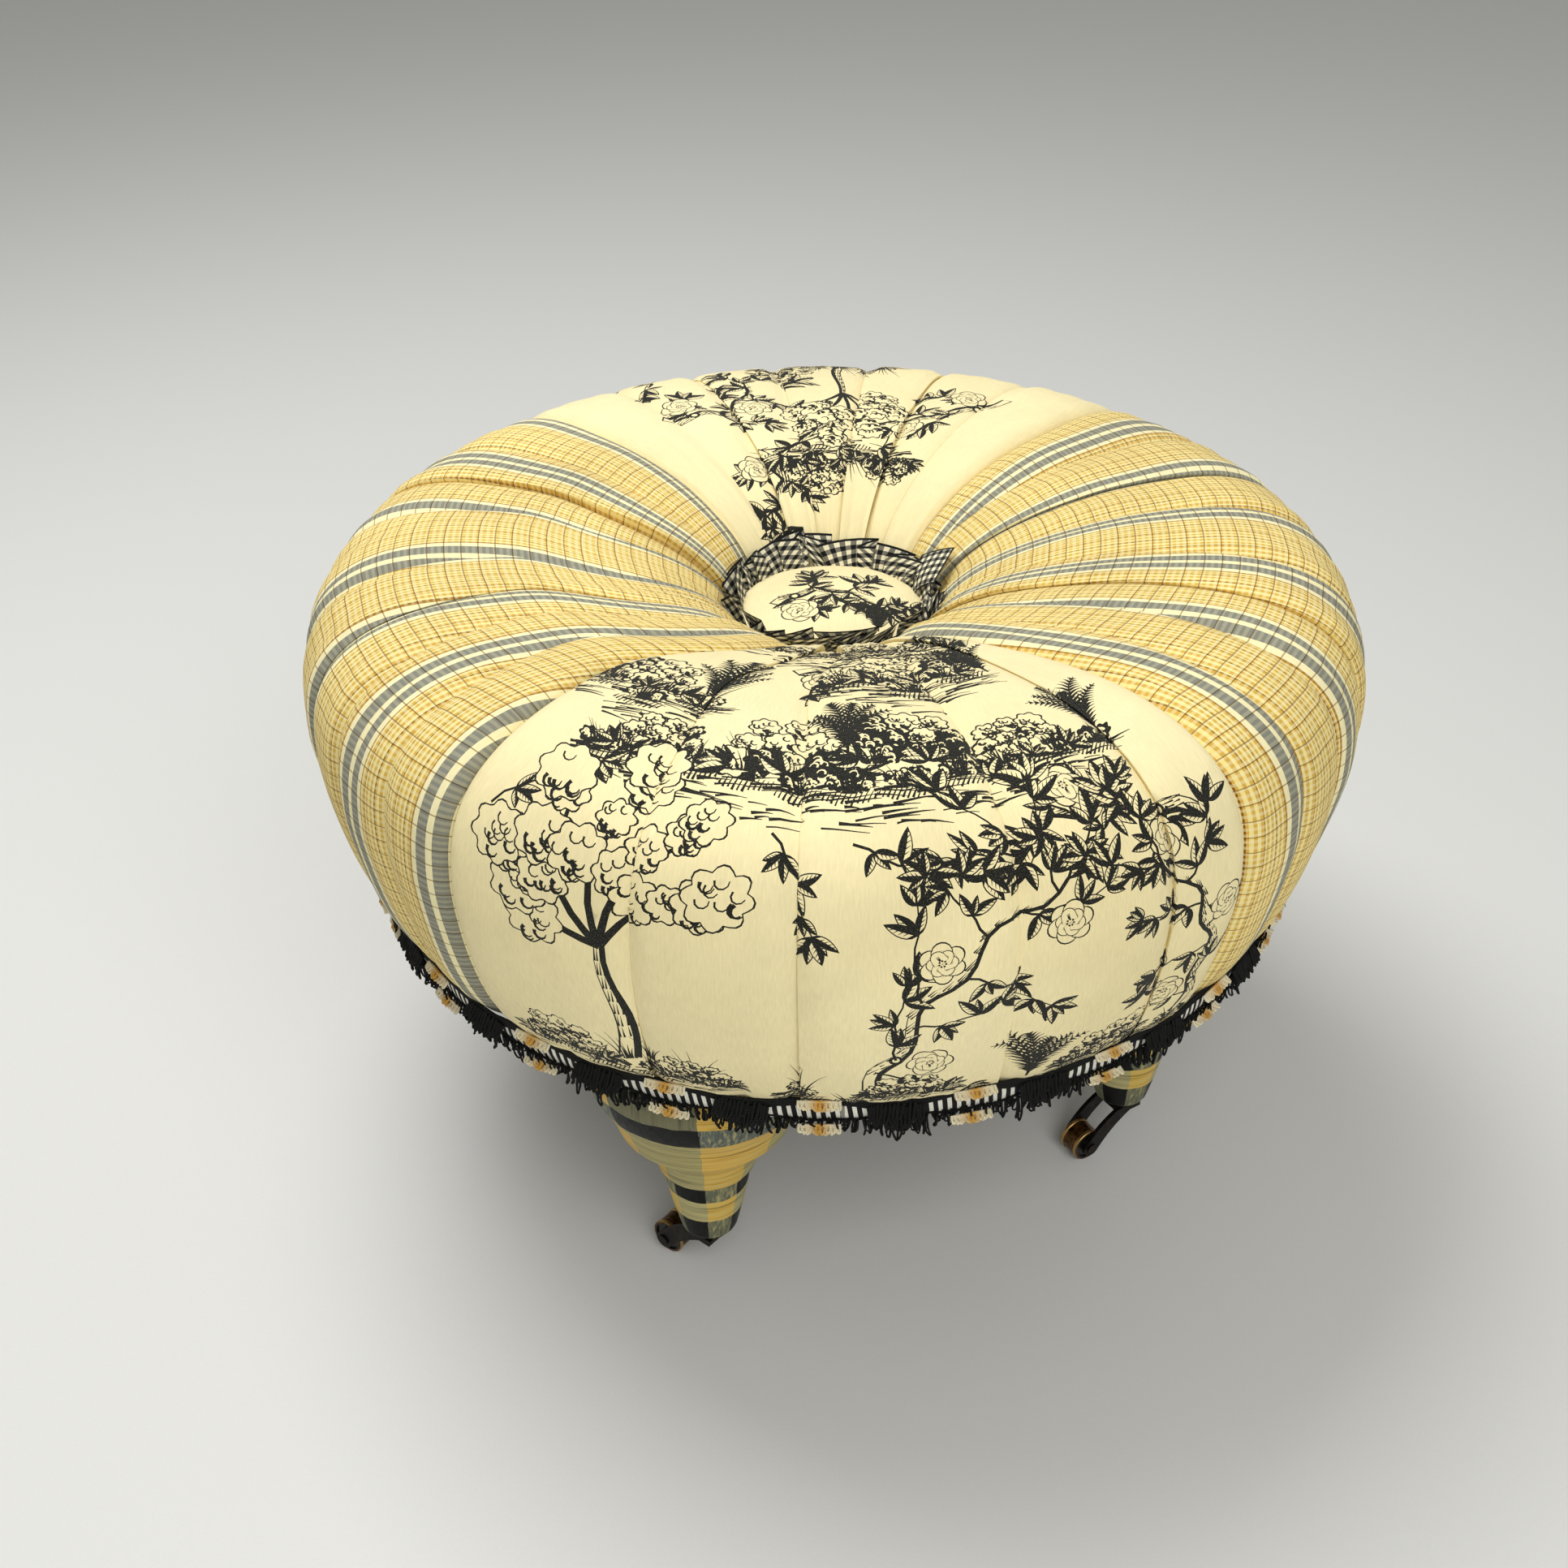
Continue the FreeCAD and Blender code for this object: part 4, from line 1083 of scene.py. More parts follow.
back_design = (
    (Print.ground, 0.48, 0.20, (0.140, 0.026)),
    (Print.bush, 0.28, 0.20, (0.046,)),
    (Print.bush, 0.55, 0.19, (0.060,)),
    (Print.bough, 0.72, 0.22, (0.070, 4, 1), 1.4),
    (Print.bough, 0.12, 0.42, (0.135, 6, 2), 0.5),
    (Print.bough, 0.88, 0.36, (0.120, 6, 2), 0.3, -1),
    (Print.tree, 0.47, 0.50, (0.130,)),
    (Print.ground, 0.47, 0.51, (0.110, 0.020)),
    (Print.bush, 0.56, 0.50, (0.056,)),
    (Print.twig, 0.76, 0.60, (0, 1.3, 0.080, 8)),
    (Print.bough, 0.10, 0.90, (0.160, 7, 2), 0.9),
    (Print.tree, 0.42, 0.91, (0.175,)),
    (Print.ground, 0.42, 0.93, (0.120, 0.020)),
    (Print.bush, 0.34, 0.93, (0.058,)),
    (Print.bough, 0.66, 0.90, (0.150, 7, 2), 0.95),
    (Print.fern, 0.90, 0.95, (0.066, 6)),
    (Print.bush, 0.86, 0.94, (0.060,)),
    (Print.ground, 0.88, 0.955, (0.090, 0.018)),
)


def drawn(panel, seed, design):
    """The shapes of a design on a panel."""
    art = Print(seed)
    for row in design:
        art.put(panel, *row)
    return art.shapes


def triangulated(width, height, shapes, loose):
    """Triangles over a rectangle that follow closed shapes and take in loose points, with each one's ink.
    Everything is in millimetres, which the triangulation's tolerance suits."""
    corners = [(0, 0), (width, 0), (width, height), (0, height)]
    points, faces, inks = [Vector(corner) for corner in corners], [[0, 1, 2, 3]], [0.0]
    for shape, ink in shapes:
        area = float(np.sum(shape.real * np.roll(shape.imag, -1) - shape.imag * np.roll(shape.real, -1)))
        if abs(area) < 1e-3:
            continue
        order = range(len(points), len(points) + len(shape))
        points += [Vector((p.real, p.imag)) for p in (shape if area > 0 else shape[::-1])]
        faces.append(list(order))
        inks.append(ink)
    points += [Vector(point) for point in loose]
    found, _, triangles, _, _, owners = delaunay_2d_cdt(points, [], faces, 1, 1e-4, True)
    found = np.array([tuple(point) for point in found])
    spilt = spilt_shapes(np.array([tuple(point) for point in points]), faces, found, triangles, owners)
    kept = [number for number, owner in enumerate(owners) if 0 in owner]
    shown = [inks[max(set(owners[number]) - spilt)] for number in kept]
    return found, [triangles[number] for number in kept], shown


def spilt_shapes(points, faces, found, triangles, owners):
    """Shapes that cross themselves so that the triangulation fills their outside."""
    owner = np.array([number for row in owners for number in row])
    place = np.repeat(np.arange(len(owners)), [len(row) for row in owners])
    middles = found[np.array(triangles)].mean(1)[place]
    low = np.array([points[face].min(0) for face in faces])[owner] - 1e-3
    high = np.array([points[face].max(0) for face in faces])[owner] + 1e-3
    outside = ((middles < low) | (middles > high)).any(1)
    return set(owner[outside].tolist()) - {0}


def trimmed(points, faces):
    """Leaves out points that no face uses."""
    used = np.unique(np.concatenate([np.asarray(face) for face in faces]))
    places = np.full(len(points), -1)
    places[used] = np.arange(len(used))
    return points[used], [tuple(int(places[corner]) for corner in face) for face in faces]


# Where extra lines of points run along a pleat's fold, in shares of the fold's reach
fold_shares = np.linspace(-1.3, 1.3, 14)


def cover(panel, shapes, slot):
    """A panel's cloth: its pleats, seams and print, over its simulated padding."""
    width, length = 1000 * float(panel.cloth(widest_share)), 1000 * line_length
    outlines = [((shape.real * width) + 1j * (shape.imag * length), ink) for shape, ink in shapes]
    step = 1000 * grid_step
    rows = np.linspace(0, 1, int(length / step) + 1)
    columns = np.linspace(0, 1, int(width / step) + 1)
    loose = [(x * width, y * length) for x in columns for y in rows]
    turn = pleat_turn * gathered(rows, *turn_gather)
    for number in range(len(panel.pleats)):
        for share in fold_shares:
            across = (panel.fold(number, rows) + share * turn) / panel.cloth(rows)
            loose += list(zip(across * width, rows * length))
    for off in seam_lines:
        for across in (off / panel.cloth(rows), 1 - off / panel.cloth(rows)):
            loose += list(zip(across * width, rows * length))
    flat, triangles, inks = triangulated(width, length, outlines, loose)
    flat, triangles = trimmed(flat, triangles)
    across, along = flat[:, 0] / width, flat[:, 1] / length
    points = panel.place(across, along)
    pattern = panel.pattern(across, along, flat / 1000)
    faces = [triangle[::-1] for triangle in triangles]
    made = piece("cover_" + panel.side + "_cloth", points, faces, slot,
                 replaces=("cover_" + panel.side,), uv=pattern, values={"ink": inks})


def padding():
    """The foam under the cloth, a closed lumpy ring that fills the seat."""
    columns, rows = 144, 60
    azimuth, along = paired(full_turn(columns), np.linspace(0, 1, rows))
    lumps = -foam_sink + foam_lump * ripple(azimuth * 12, along * 9, foam_layer)
    points = seat(azimuth, along, lumps - dip(azimuth, along))
    low, high = points[:columns].mean(0), points[-columns:].mean(0)
    points = np.concatenate([points, [low, high]])
    faces = grid_faces(columns, rows, closed=True)
    last = (rows - 1) * columns
    for column in range(columns):
        following = (column + 1) % columns
        faces.append((columns * rows, column, following))
        faces.append((columns * rows + 1, last + following, last + column))
    made = piece("padding", points, faces, "padding", replaces=("foam_core",))


for panel in panels.values():
    panel.simulate()
cover(panels["front"], drawn(panels["front"], 11, front_design), "print_cotton")
cover(panels["back"], drawn(panels["back"], 23, back_design), "print_cotton")
cover(panels["right"], [], "plaid_cotton")
cover(panels["left"], [], "plaid_cotton")
padding()


# The button, in metres: its cloth stands past its solid, domes up, turns over a rim and drops behind it
button_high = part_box("button_cover")[1]
button_radius = button_high.x + 0.0022
button_rim = 0.0060
button_proud = 0.0035
button_dome = 0.0105
button_drop = 0.014
button_crease, crease_start = 0.0007, 0.03
# The cloth's radius in button radii, its rings of points, how many points the middle has, and how many more
# the rim has
button_cut = 1.1
button_rings = np.linspace(0.02, 1.0, 34) ** 0.75
middle_points, more_points = 12, 84
# Where the motifs of its print start from, in metres across and up
bough_shift, fern_shift = -0.038 - 0.006j, 0.030 - 0.040j


def button():
    """The padded button: printed cloth over a dome, gathered over its rim."""
    art = Print(5)
    art.bough(0.070, 5, 1)
    first = len(art.shapes)
    art.fern(0.034, 5)
    size = 2000 * button_cut * button_radius
    shapes = []
    for number, (shape, ink) in enumerate(art.shapes):
        shift = bough_shift if number < first else fern_shift
        shapes.append(((shape + shift) * 1000 + size / 2 * (1 + 1j), ink))
    loose = []
    for ring in button_rings:
        count = middle_points + int(more_points * ring)
        for number in range(count):
            aim = 2 * np.pi * number / count
            loose.append((size / 2 * (1 + ring * np.cos(aim)), size / 2 * (1 + ring * np.sin(aim))))
    flat, triangles, inks = triangulated(size, size, shapes, loose)
    away = np.hypot(flat[:, 0] - size / 2, flat[:, 1] - size / 2)
    kept = [number for number, triangle in enumerate(triangles)
            if max(away[list(triangle)]) <= size / 2 * 1.0001]
    inks = [inks[number] for number in kept]
    flat, triangles = trimmed(flat, [triangles[number] for number in kept])
    cut = button_radius * button_cut
    x, y = flat[:, 0] / 1000 - cut, flat[:, 1] / 1000 - cut
    reach, aim = np.hypot(x, y), np.arctan2(y, x)
    flat_reach = button_radius - button_rim
    over = np.clip((reach - flat_reach) / (cut - flat_reach), 0, 1)
    round_over = over * np.pi / 2
    radius = np.where(reach < flat_reach, reach, flat_reach + button_rim * np.sin(round_over))
    bulge = np.cos(np.clip(radius / button_radius, 0, 1) * np.pi / 2) ** 0.8
    dome = button_high.z + button_proud - button_dome + button_dome * bulge
    height = dome - button_drop * over ** 2
    towards_rim = np.clip((reach - crease_start) / crease_start, 0, 1) ** 2
    height = height + button_crease * (ripple(aim * 4, reach * 30, button_layer) * towards_rim)
    points = np.stack([radius * np.cos(aim), radius * np.sin(aim), height], -1)
    made = piece("button_cloth", points, triangles, "print_cotton", replaces=("button_cover", "button_pad"),
                 uv=flat / 1000, values={"ink": inks})


button()

# The frill: how many folds, how far up the seat's outline it reaches, and the points of one fold as shares
frill_pleats = 36
frill_top = 0.062
frill_columns = (0.0, 0.05, 0.27, 0.5, 0.73, 0.95)
frill_rows = (0.0, 0.25, 0.5, 0.75, 0.955, 1.0)
# A fold's least and most measures: its share of the round, its reach and its top's lean in radians, its top's
# reach and tilt as shares of the outline, its height in metres, and its top's spread against its foot's
fold_share, fold_take, fold_lean = (0.55, 1.6), (0.050, 0.110), (-0.15, 0.15)
fold_reach, fold_tilt = (-0.014, 0.010), (-0.011, 0.011)
fold_high, fold_flat, fold_spread = (0.0070, 0.0104), 0.0014, (0.5, 2.1)
fold_slants = (-1.2, -0.8, 0.0, 0.2, 0.7, 1.1)
# How far off the seat the frill lies, the shares of a fold's height that its foot has and its top adds, and
# how far over its solid it may reach
frill_lift, frill_foot_share, frill_top_share = 0.0008, 0.55, 0.55
frill_limit = 0.004
# The frill's flat end: its size in metres, its turn, where round and along the seat it lies, and how it curls
end_size, end_turn, end_azimuth, end_share = 0.029, 0.66, 1.87, 0.063
end_points = 9
end_lift, end_wave, end_curl, end_curl_size, end_curl_share = 0.0105, 0.0012, 0.02, 0.024, 0.25
# The seat's radius at the frill's end
well_radius = 0.085


def fold_lines():
    """The frill's folds in order: azimuth at the foot and at the top, how proud, and the top's share."""
    dice = random.Random(3)
    shown = [dice.uniform(*fold_share) for _ in range(frill_pleats)]
    lines = []
    for middle in np.cumsum(shown) / sum(shown) * 2 * math.pi:
        take, side = dice.uniform(*fold_take), dice.choice((-1, 1, 1))
        lean, reach = dice.uniform(*fold_lean), dice.uniform(*fold_reach)
        for step in (1, -1):
            high = dice.uniform(*fold_high) if step == side else fold_flat
            spread = step * take * dice.uniform(*fold_spread)
            tilt = step * dice.uniform(*fold_tilt)
            lines.append((middle + step * take * 0.4, middle + lean + spread, high, frill_top + reach + tilt))
    foot, top, high, share = lines[0]
    return lines + [(foot + 2 * math.pi, top + 2 * math.pi, high, share)]


def frill():
    """A gingham ribbon in flat uneven folds up the slope round the button, with its end laid over it."""
    azimuth, along, proud, under_top = [], [], [], []
    lines = fold_lines()
    up = np.array(frill_rows)
    for before, after in zip(lines, lines[1:]):
        for share in frill_columns:
            foot, top, high, reach = (low + (high - low) * share for low, high in zip(before, after))
            azimuth.append(foot + (top - foot) * up)
            along.append(reach * up)
            proud.append(frill_lift + high * (frill_foot_share + frill_top_share * up))
            under_top.append((1 - up) * reach * line_length)
    azimuth, along, proud, under_top = (np.array(rows).T for rows in (azimuth, along, proud, under_top))
    rows, columns = azimuth.shape
    points = seat(azimuth.ravel(), along.ravel(), proud.ravel())
    middle = points.reshape(rows, columns, 3)[2]
    steps = np.linalg.norm(np.roll(middle, -1, 0) - middle, axis=1)
    cloth = np.concatenate([[0.0], np.cumsum(steps)[:-1]])
    uv = np.stack([np.tile(cloth, rows), under_top.ravel()], -1)
    faces = grid_faces(columns, rows)
    edge = [1.0 if number // (columns - 1) == rows - 2 else 0.0 for number in range(len(faces))]
    last = []
    for row in range(rows - 1):
        low, high = row * columns, (row + 1) * columns
        last.append((low + columns - 1, high + columns - 1, high, low))
        edge.append(1.0 if row == rows - 2 else 0.0)
    end, end_edge = frill_end()
    dice = random.Random(4)
    slants = [dice.choice(fold_slants) for _ in lines]
    slant = [slants[number % (columns - 1) // len(frill_columns)] for number in range(len(faces))]
    slant += [slants[-2]] * len(last) + [0.0] * len(end[1])
    points, faces, uv = joined([(points, faces + last, uv), end])
    points[:, 2] = np.minimum(points[:, 2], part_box("frill")[1].z + frill_limit)
    made = piece("frill_cloth", points, faces, "gingham_cotton", replaces=("frill",), uv=uv,
                 values={"edge": edge + end_edge, "slant": slant})


def frill_end():
    """The ribbon's end, laid over the frill as a turned square, with its dark edges."""
    count = end_points
    across = np.concatenate([[0.0, 0.05], np.linspace(0.15, 0.85, count - 4), [0.95, 1.0]])
    x, y = (values - 0.5 for values in paired(across, across))
    around = end_size * (x * math.cos(end_turn) - y * math.sin(end_turn))
    upward = end_size * (x * math.sin(end_turn) + y * math.cos(end_turn))
    curl = end_curl * (x * x + y * y) * end_size / end_curl_size * end_curl_share
    proud = end_lift + end_wave * np.sin(3 * (x + y)) - curl
    points = seat(end_azimuth + around / well_radius, end_share - upward / line_length, proud)
    faces = grid_faces(count, count)
    edge = []
    for number in range(len(faces)):
        row, column = divmod(number, count - 1)
        edge.append(1.0 if row in (0, count - 2) or column in (0, count - 2) else 0.0)
    return (points, faces, np.stack([x, y], -1) * end_size), edge


# Trim round the foot of the cover, in metres
braid_low, braid_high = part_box("braid")
fringe_low, fringe_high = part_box("fringe")
ribbon_past = 0.0013
ribbon_low, ribbon_high = braid_low.z - ribbon_past, braid_high.z + ribbon_past
foot_radius, ribbon_off = 0.3096, 0.004
ribbon_length = 2 * math.pi * (foot_radius + ribbon_off)
band_inset, band_lean = 0.0026, 0.15
ribbon_lift, ribbon_bulge = 0.0016, 0.0006
ribbon_edge_wave, ribbon_face_wave = 0.0006, 0.0004

# Windows in the gimp: how many, where the first one is, and one's reach as a share of the way to the next
windows = 22
first_window = math.radians(-2.7)
between_windows = first_window + math.pi / windows - math.pi / 2
window_reach = 0.40

# Rows of gimp: the side of the ribbon's middle, how far off it between windows and in one, and the radius
gimp_rows = ((1, 0.0016, 0.0080, 0.0012), (1, 0.0046, 0.0094, 0.0013), (1, 0.0074, 0.0112, 0.0013),
             (-1, 0.0034, 0.0072, 0.0008))
gimp_lift, gimp_wave, gimp_bumps = 0.0024, 0.0004, 0.0005
gimp_points = 40

# Rings of strands: how many strands, and how far each ring lies inside the outermost place
strand_rings = ((430, 0.0060), (400, 0.0035), (380, 0.0010))
strand_inset, strand_rise, strand_radius = 0.0035, 0.001, 0.00075
strand_sway, strand_twist = 0.0016, 0.0012

# A bunch of curls: how many, how far they reach to each side, the yarn's radius, and the least and the most
# that each loop has
curl_count, curl_reach, curl_radius = 34, 0.0150, 0.00095
curl_out, curl_up = 0.0006, 0.001
curl_drop, curl_wide, curl_proud = (0.010, 0.016), (0.0018, 0.0034), (0.0022, 0.0058)
curl_lean, curl_rise = (-0.0022, 0.0022), (-0.003, 0.001)

# A tuft: how many loops, how far they reach to each side, the yarn's radius, how wide its amber middle is,
# and the least and the most that each loop has, with the second row of loops farther out
tuft_loops, tuft_reach, tuft_radius, tuft_amber = 8, 0.0122, 0.0010, 0.0050
tuft_drop, tuft_wide, tuft_lean = (0.0038, 0.0056), (0.0020, 0.0030), (-0.0015, 0.0015)
tuft_proud, tuft_uneven, tuft_row = 0.0022, 0.001, 0.0016
upper_tuft_up, upper_tuft_out = 0.0056, 0.0038
lower_tuft_down, lower_tuft_in = 0.0022, 0.0014


def band_point(azimuth, height, proud):
    """A point of the trim, which hangs nearly upright from the cover's hem."""
    radius = braid_high.x - band_inset - band_lean * (braid_high.z - height) + proud
    return np.stack([radius * np.sin(azimuth), -radius * np.cos(azimuth), height + 0 * azimuth], -1)


def ribbon():
    """The striped ribbon round the foot of the cover."""
    columns, rows = 720, 5
    azimuth, up = paired(full_turn(columns), np.linspace(1, 0, rows))
    wide = ribbon_high - ribbon_low
    height = ribbon_low + wide * up + ribbon_edge_wave * ripple(azimuth * 9, up, ribbon_edge_layer)
    proud = ribbon_lift + ribbon_bulge * np.sin(np.pi * up)
    proud = proud + ribbon_face_wave * ripple(azimuth * 30, up * 2, ribbon_face_layer)
    points = band_point(azimuth, height, proud)
    uv = np.stack([azimuth / (2 * np.pi) * ribbon_length, up * wide], -1)
    faces = grid_faces(columns, rows, closed=True)
    made = piece("ribbon_band", points, faces, "ribbon", replaces=("braid",), uv=uv)


# A direction that no tube's line keeps to
off_line = np.array([0.13, 0.21, 1.0])


def tube(line, thick, sides_round, closed=False):
    """Points, faces and coordinates of a tube along a line. thick is one radius or one for each point."""
    line = np.asarray(line, float)
    way = np.roll(line, -1, 0) - np.roll(line, 1, 0) if closed else np.gradient(line, axis=0)
    way /= np.linalg.norm(way, axis=1)[:, None]
    out = np.cross(way, off_line)
    out /= np.linalg.norm(out, axis=1)[:, None]
    up = np.cross(out, way)
    turn = full_turn(sides_round)
    ring = out[:, None] * np.cos(turn)[None, :, None] + up[:, None] * np.sin(turn)[None, :, None]
    radii = np.broadcast_to(np.asarray(thick, float).reshape(-1, 1, 1), (len(line), 1, 1))
    points = (line[:, None] + ring * radii).reshape(-1, 3)
    length = np.concatenate([[0], np.cumsum(np.linalg.norm(np.diff(line, axis=0), axis=1))])
    uv = np.stack([np.tile(turn / (2 * np.pi), len(line)), np.repeat(length, sides_round)], -1)
    faces = [face[::-1] for face in grid_faces(sides_round, len(line), closed=True)]
    if closed:
        last = (len(line) - 1) * sides_round
        for number in range(sides_round):
            following = (number + 1) % sides_round
            faces.append((last + number, last + following, following, number))
    else:
        faces.append(tuple(range(sides_round)))
        faces.append(tuple(range(len(points) - 1, len(points) - 1 - sides_round, -1)))
    return points, faces, uv


def joined(parts):
    """Several points, faces and coordinates as one."""
    points, faces, uv, count = [], [], [], 0
    for part_points, part_faces, part_uv in parts:
        points.append(part_points)
        faces += [tuple(corner + count for corner in face) for face in part_faces]
        uv.append(part_uv)
        count += len(part_points)
    return np.concatenate(points), faces, np.concatenate(uv)


def openness(turn):
    """1 in the middle of a window of the ribbon, 0 between the windows."""
    off = np.abs(((turn - first_window) * windows / (2 * np.pi) + 0.5) % 1 - 0.5)
    return np.clip(1 - (off / window_reach) ** 2.6, 0, 1)


def heading():
    """Black gimp along both edges of the ribbon, which closes over it between the windows."""
    turn = full_turn(windows * gimp_points)
    parts = []
    for side, shut, opened, thick in gimp_rows:
        height = (braid_low.z + braid_high.z) / 2 + side * (shut + (opened - shut) * openness(turn))
        height = height + gimp_wave * ripple(turn * 60, 0 * turn, gimp_height_layer + side)
        proud = gimp_lift + gimp_bumps * ripple(turn * 45, 0 * turn, gimp_proud_layer + side)
        parts.append(tube(band_point(turn, height, proud), thick, 6, closed=True))
    points, faces, uv = joined(parts)
    piece("fringe_heading", points, faces, "black_yarn", replaces=("fringe",), uv=uv)


loop_points, loop_root = 9, 0.0006


def loop(at, wide, drop, proud, thick, lean, rise=0.0):
    """A hanging loop of yarn, at a place along the Y axis: down one side and up the other."""
    t = np.linspace(0, np.pi, loop_points)
    out = loop_root + proud * np.sin(t) ** 0.7
    across = at + wide / 2 * np.cos(t) + lean * np.sin(t)
    return tube(np.stack([out, across, rise - drop * np.sin(t) ** 0.6], -1), thick, 5)


def curls():
    """One bunch of short black loops that hides the ribbon between two windows."""
    dice = random.Random(9)
    parts = []
    for number in range(curl_count):
        at = curl_reach * (2 * (number + dice.random()) / curl_count - 1)
        drop = dice.uniform(*curl_drop) * (1 - 0.35 * abs(at) / curl_reach)
        wide, proud = dice.uniform(*curl_wide), dice.uniform(*curl_proud)
        lean, rise = dice.uniform(*curl_lean), dice.uniform(*curl_rise)
        parts.append(loop(at, wide, drop, proud, curl_radius, lean, rise))
    return joined(parts)


def strand(seed, drop, count=12):
    """One long loop of the fringe, a little bent, down one side and up the other."""
    dice = random.Random(seed)
    t = np.linspace(0, np.pi, count)
    sway = dice.uniform(-strand_sway, strand_sway)
    hang = np.sin(t) ** 0.45
    out, across = strand_twist * np.sin(t * 2 + seed), strand_twist * np.cos(t)
    return tube(np.stack([out, across + sway * hang ** 2, -drop * hang], -1), strand_radius, 4)


def ring_tree():
    """Geometry nodes that set one shape round the seat, each copy turned, leant and sized a little."""
    tree = bpy.data.node_groups.new("ring of pieces", "GeometryNodeTree")
    kinds = {"Geometry": "Geometry", "Count": "Int", "Radius": "Float", "Height": "Float", "Start": "Float",
             "Spin": "Float", "Lean": "Float", "Least": "Float", "Most": "Float", "Seed": "Int",
             "Bunches": "Float", "Bunch": "Float", "First": "Float", "Material": "Material"}
    for name, kind in kinds.items():
        tree.interface.new_socket(name, in_out="INPUT", socket_type="NodeSocket" + kind)
    tree.interface.new_socket("Geometry", in_out="OUTPUT", socket_type="NodeSocketGeometry")
    nodes = Nodes(tree)
    given = nodes.add("NodeGroupInput").outputs
    circle = nodes.add("GeometryNodeMeshCircle", {"Vertices": given["Count"], "Radius": given["Radius"]})
    turned = nodes.add("GeometryNodeTransform", {"Geometry": circle.outputs[0],
                                                 "Translation": nodes.joined(0.0, 0.0, given["Height"]),
                                                 "Rotation": nodes.joined(0.0, 0.0, given["Start"])})
    x, y, _ = nodes.parts(nodes.add("GeometryNodeInputPosition").outputs[0])
    facing = nodes.math("ARCTAN2", y, x)
    jitter = nodes.add("FunctionNodeRandomValue", {"Seed": given["Seed"]}, data_type="FLOAT_VECTOR")
    jitter.inputs[0].default_value = (-1, -1, -1)
    tilt, roll, spin = nodes.parts(jitter.outputs[0])
    rotation = nodes.joined(nodes.times(tilt, given["Lean"]),
                            nodes.times(roll, given["Lean"]),
                            nodes.math("MULTIPLY_ADD", spin, given["Spin"], facing))
    size = nodes.add("FunctionNodeRandomValue", {2: given["Least"], 3: given["Most"], "Seed": given["Seed"]},
                     data_type="FLOAT")
    off = nodes.times(nodes.minus(facing, given["First"]), given["Bunches"])
    bunched = nodes.math("MULTIPLY_ADD", nodes.math("COSINE", off), given["Bunch"], 1.0)
    scale = nodes.joined(1.0, 1.0, nodes.times(size.outputs[1], bunched))
    copies = nodes.add("GeometryNodeInstanceOnPoints", {
        "Points": turned.outputs[0], "Instance": given["Geometry"], "Rotation": rotation, "Scale": scale})
    real = nodes.add("GeometryNodeRealizeInstances", {0: copies.outputs[0]})
    looks = {"Geometry": real.outputs[0], "Material": given["Material"]}
    nodes.add("NodeGroupOutput", {0: nodes.add("GeometryNodeSetMaterial", looks).outputs[0]})
    return tree


ring = ring_tree()


def ringed(name, shape, slot, replaces=(), values=None, **inputs):
    """A piece made of one shape, repeated round the seat by the geometry nodes."""
    points, faces, uv = shape
    base = piece("one_" + name, points, faces, slot, uv=uv, values=values)
    modifier = base.modifiers.new("ring", "NODES")
    modifier.node_group = ring
    inputs["Material"] = materials[slot]
    for item in ring.interface.items_tree:
        if item.in_out == "INPUT" and item.name in inputs:
            modifier[item.identifier] = inputs[item.name]
    bpy.context.view_layer.update()
    mesh = bpy.data.meshes.new_from_object(base.evaluated_get(bpy.context.evaluated_depsgraph_get()))
    base.modifiers.remove(modifier)
    bpy.data.objects.remove(base)
    mesh.shade_smooth()
    return settle_in(placed(name, mesh), replaces=replaces)


def fringe():
    """Three rings of strands, one behind the other, longer between the windows."""
    drop = fringe_high.z - fringe_low.z
    for number, (count, inset) in enumerate(strand_rings):
        ringed("fringe_strands_" + str(number + 1), strand(number, drop), "black_yarn", replaces=("fringe",),
               Count=count, Radius=fringe_high.x - strand_inset - inset, Height=fringe_high.z + strand_rise,
               Start=0.3 * number, Spin=3.1, Lean=0.16, Least=0.36, Most=0.76, Seed=number + 3,
               Bunches=float(windows), Bunch=0.34, First=between_windows)


def curl_ring():
    """The bunches of short loops, one between each two windows."""
    ringed("fringe_curls", curls(), "black_yarn", replaces=("fringe",), Count=windows,
           Radius=braid_high.x + curl_out, Height=braid_high.z + curl_up, Start=between_windows,
           Spin=0.03, Lean=0.05, Least=0.92, Most=1.08, Seed=31, Bunches=0.0, Bunch=0.0, First=0.0)


def tuft():
    """One short fringe of thick cream loops along the Y axis, bound at its top, amber in the middle."""
    dice = random.Random(17)
    t = np.linspace(-1, 1, 9)
    binding = np.stack([0.0010 + 0.0006 * (1 - t * t), tuft_reach * t, -0.0005 * t * t], -1)
    parts = [tube(binding, tuft_radius * (1 - 0.45 * t ** 4), 6)]
    for row in (0, 1):
        for number in range(tuft_loops):
            share = (number + 0.5 * row + 0.5) / (tuft_loops + 0.5)
            at = tuft_reach * (2 * share - 1)
            drop = dice.uniform(*tuft_drop) * (1 - 0.42 * (2 * share - 1) ** 2) * (1 - 0.2 * row)
            wide = dice.uniform(*tuft_wide)
            proud = tuft_proud + tuft_row * row + dice.uniform(0, tuft_uneven)
            parts.append(loop(at, wide, drop, proud, tuft_radius, dice.uniform(*tuft_lean)))
    shape = joined(parts)
    return shape, np.exp(-(shape[0][:, 1] / tuft_amber) ** 2)


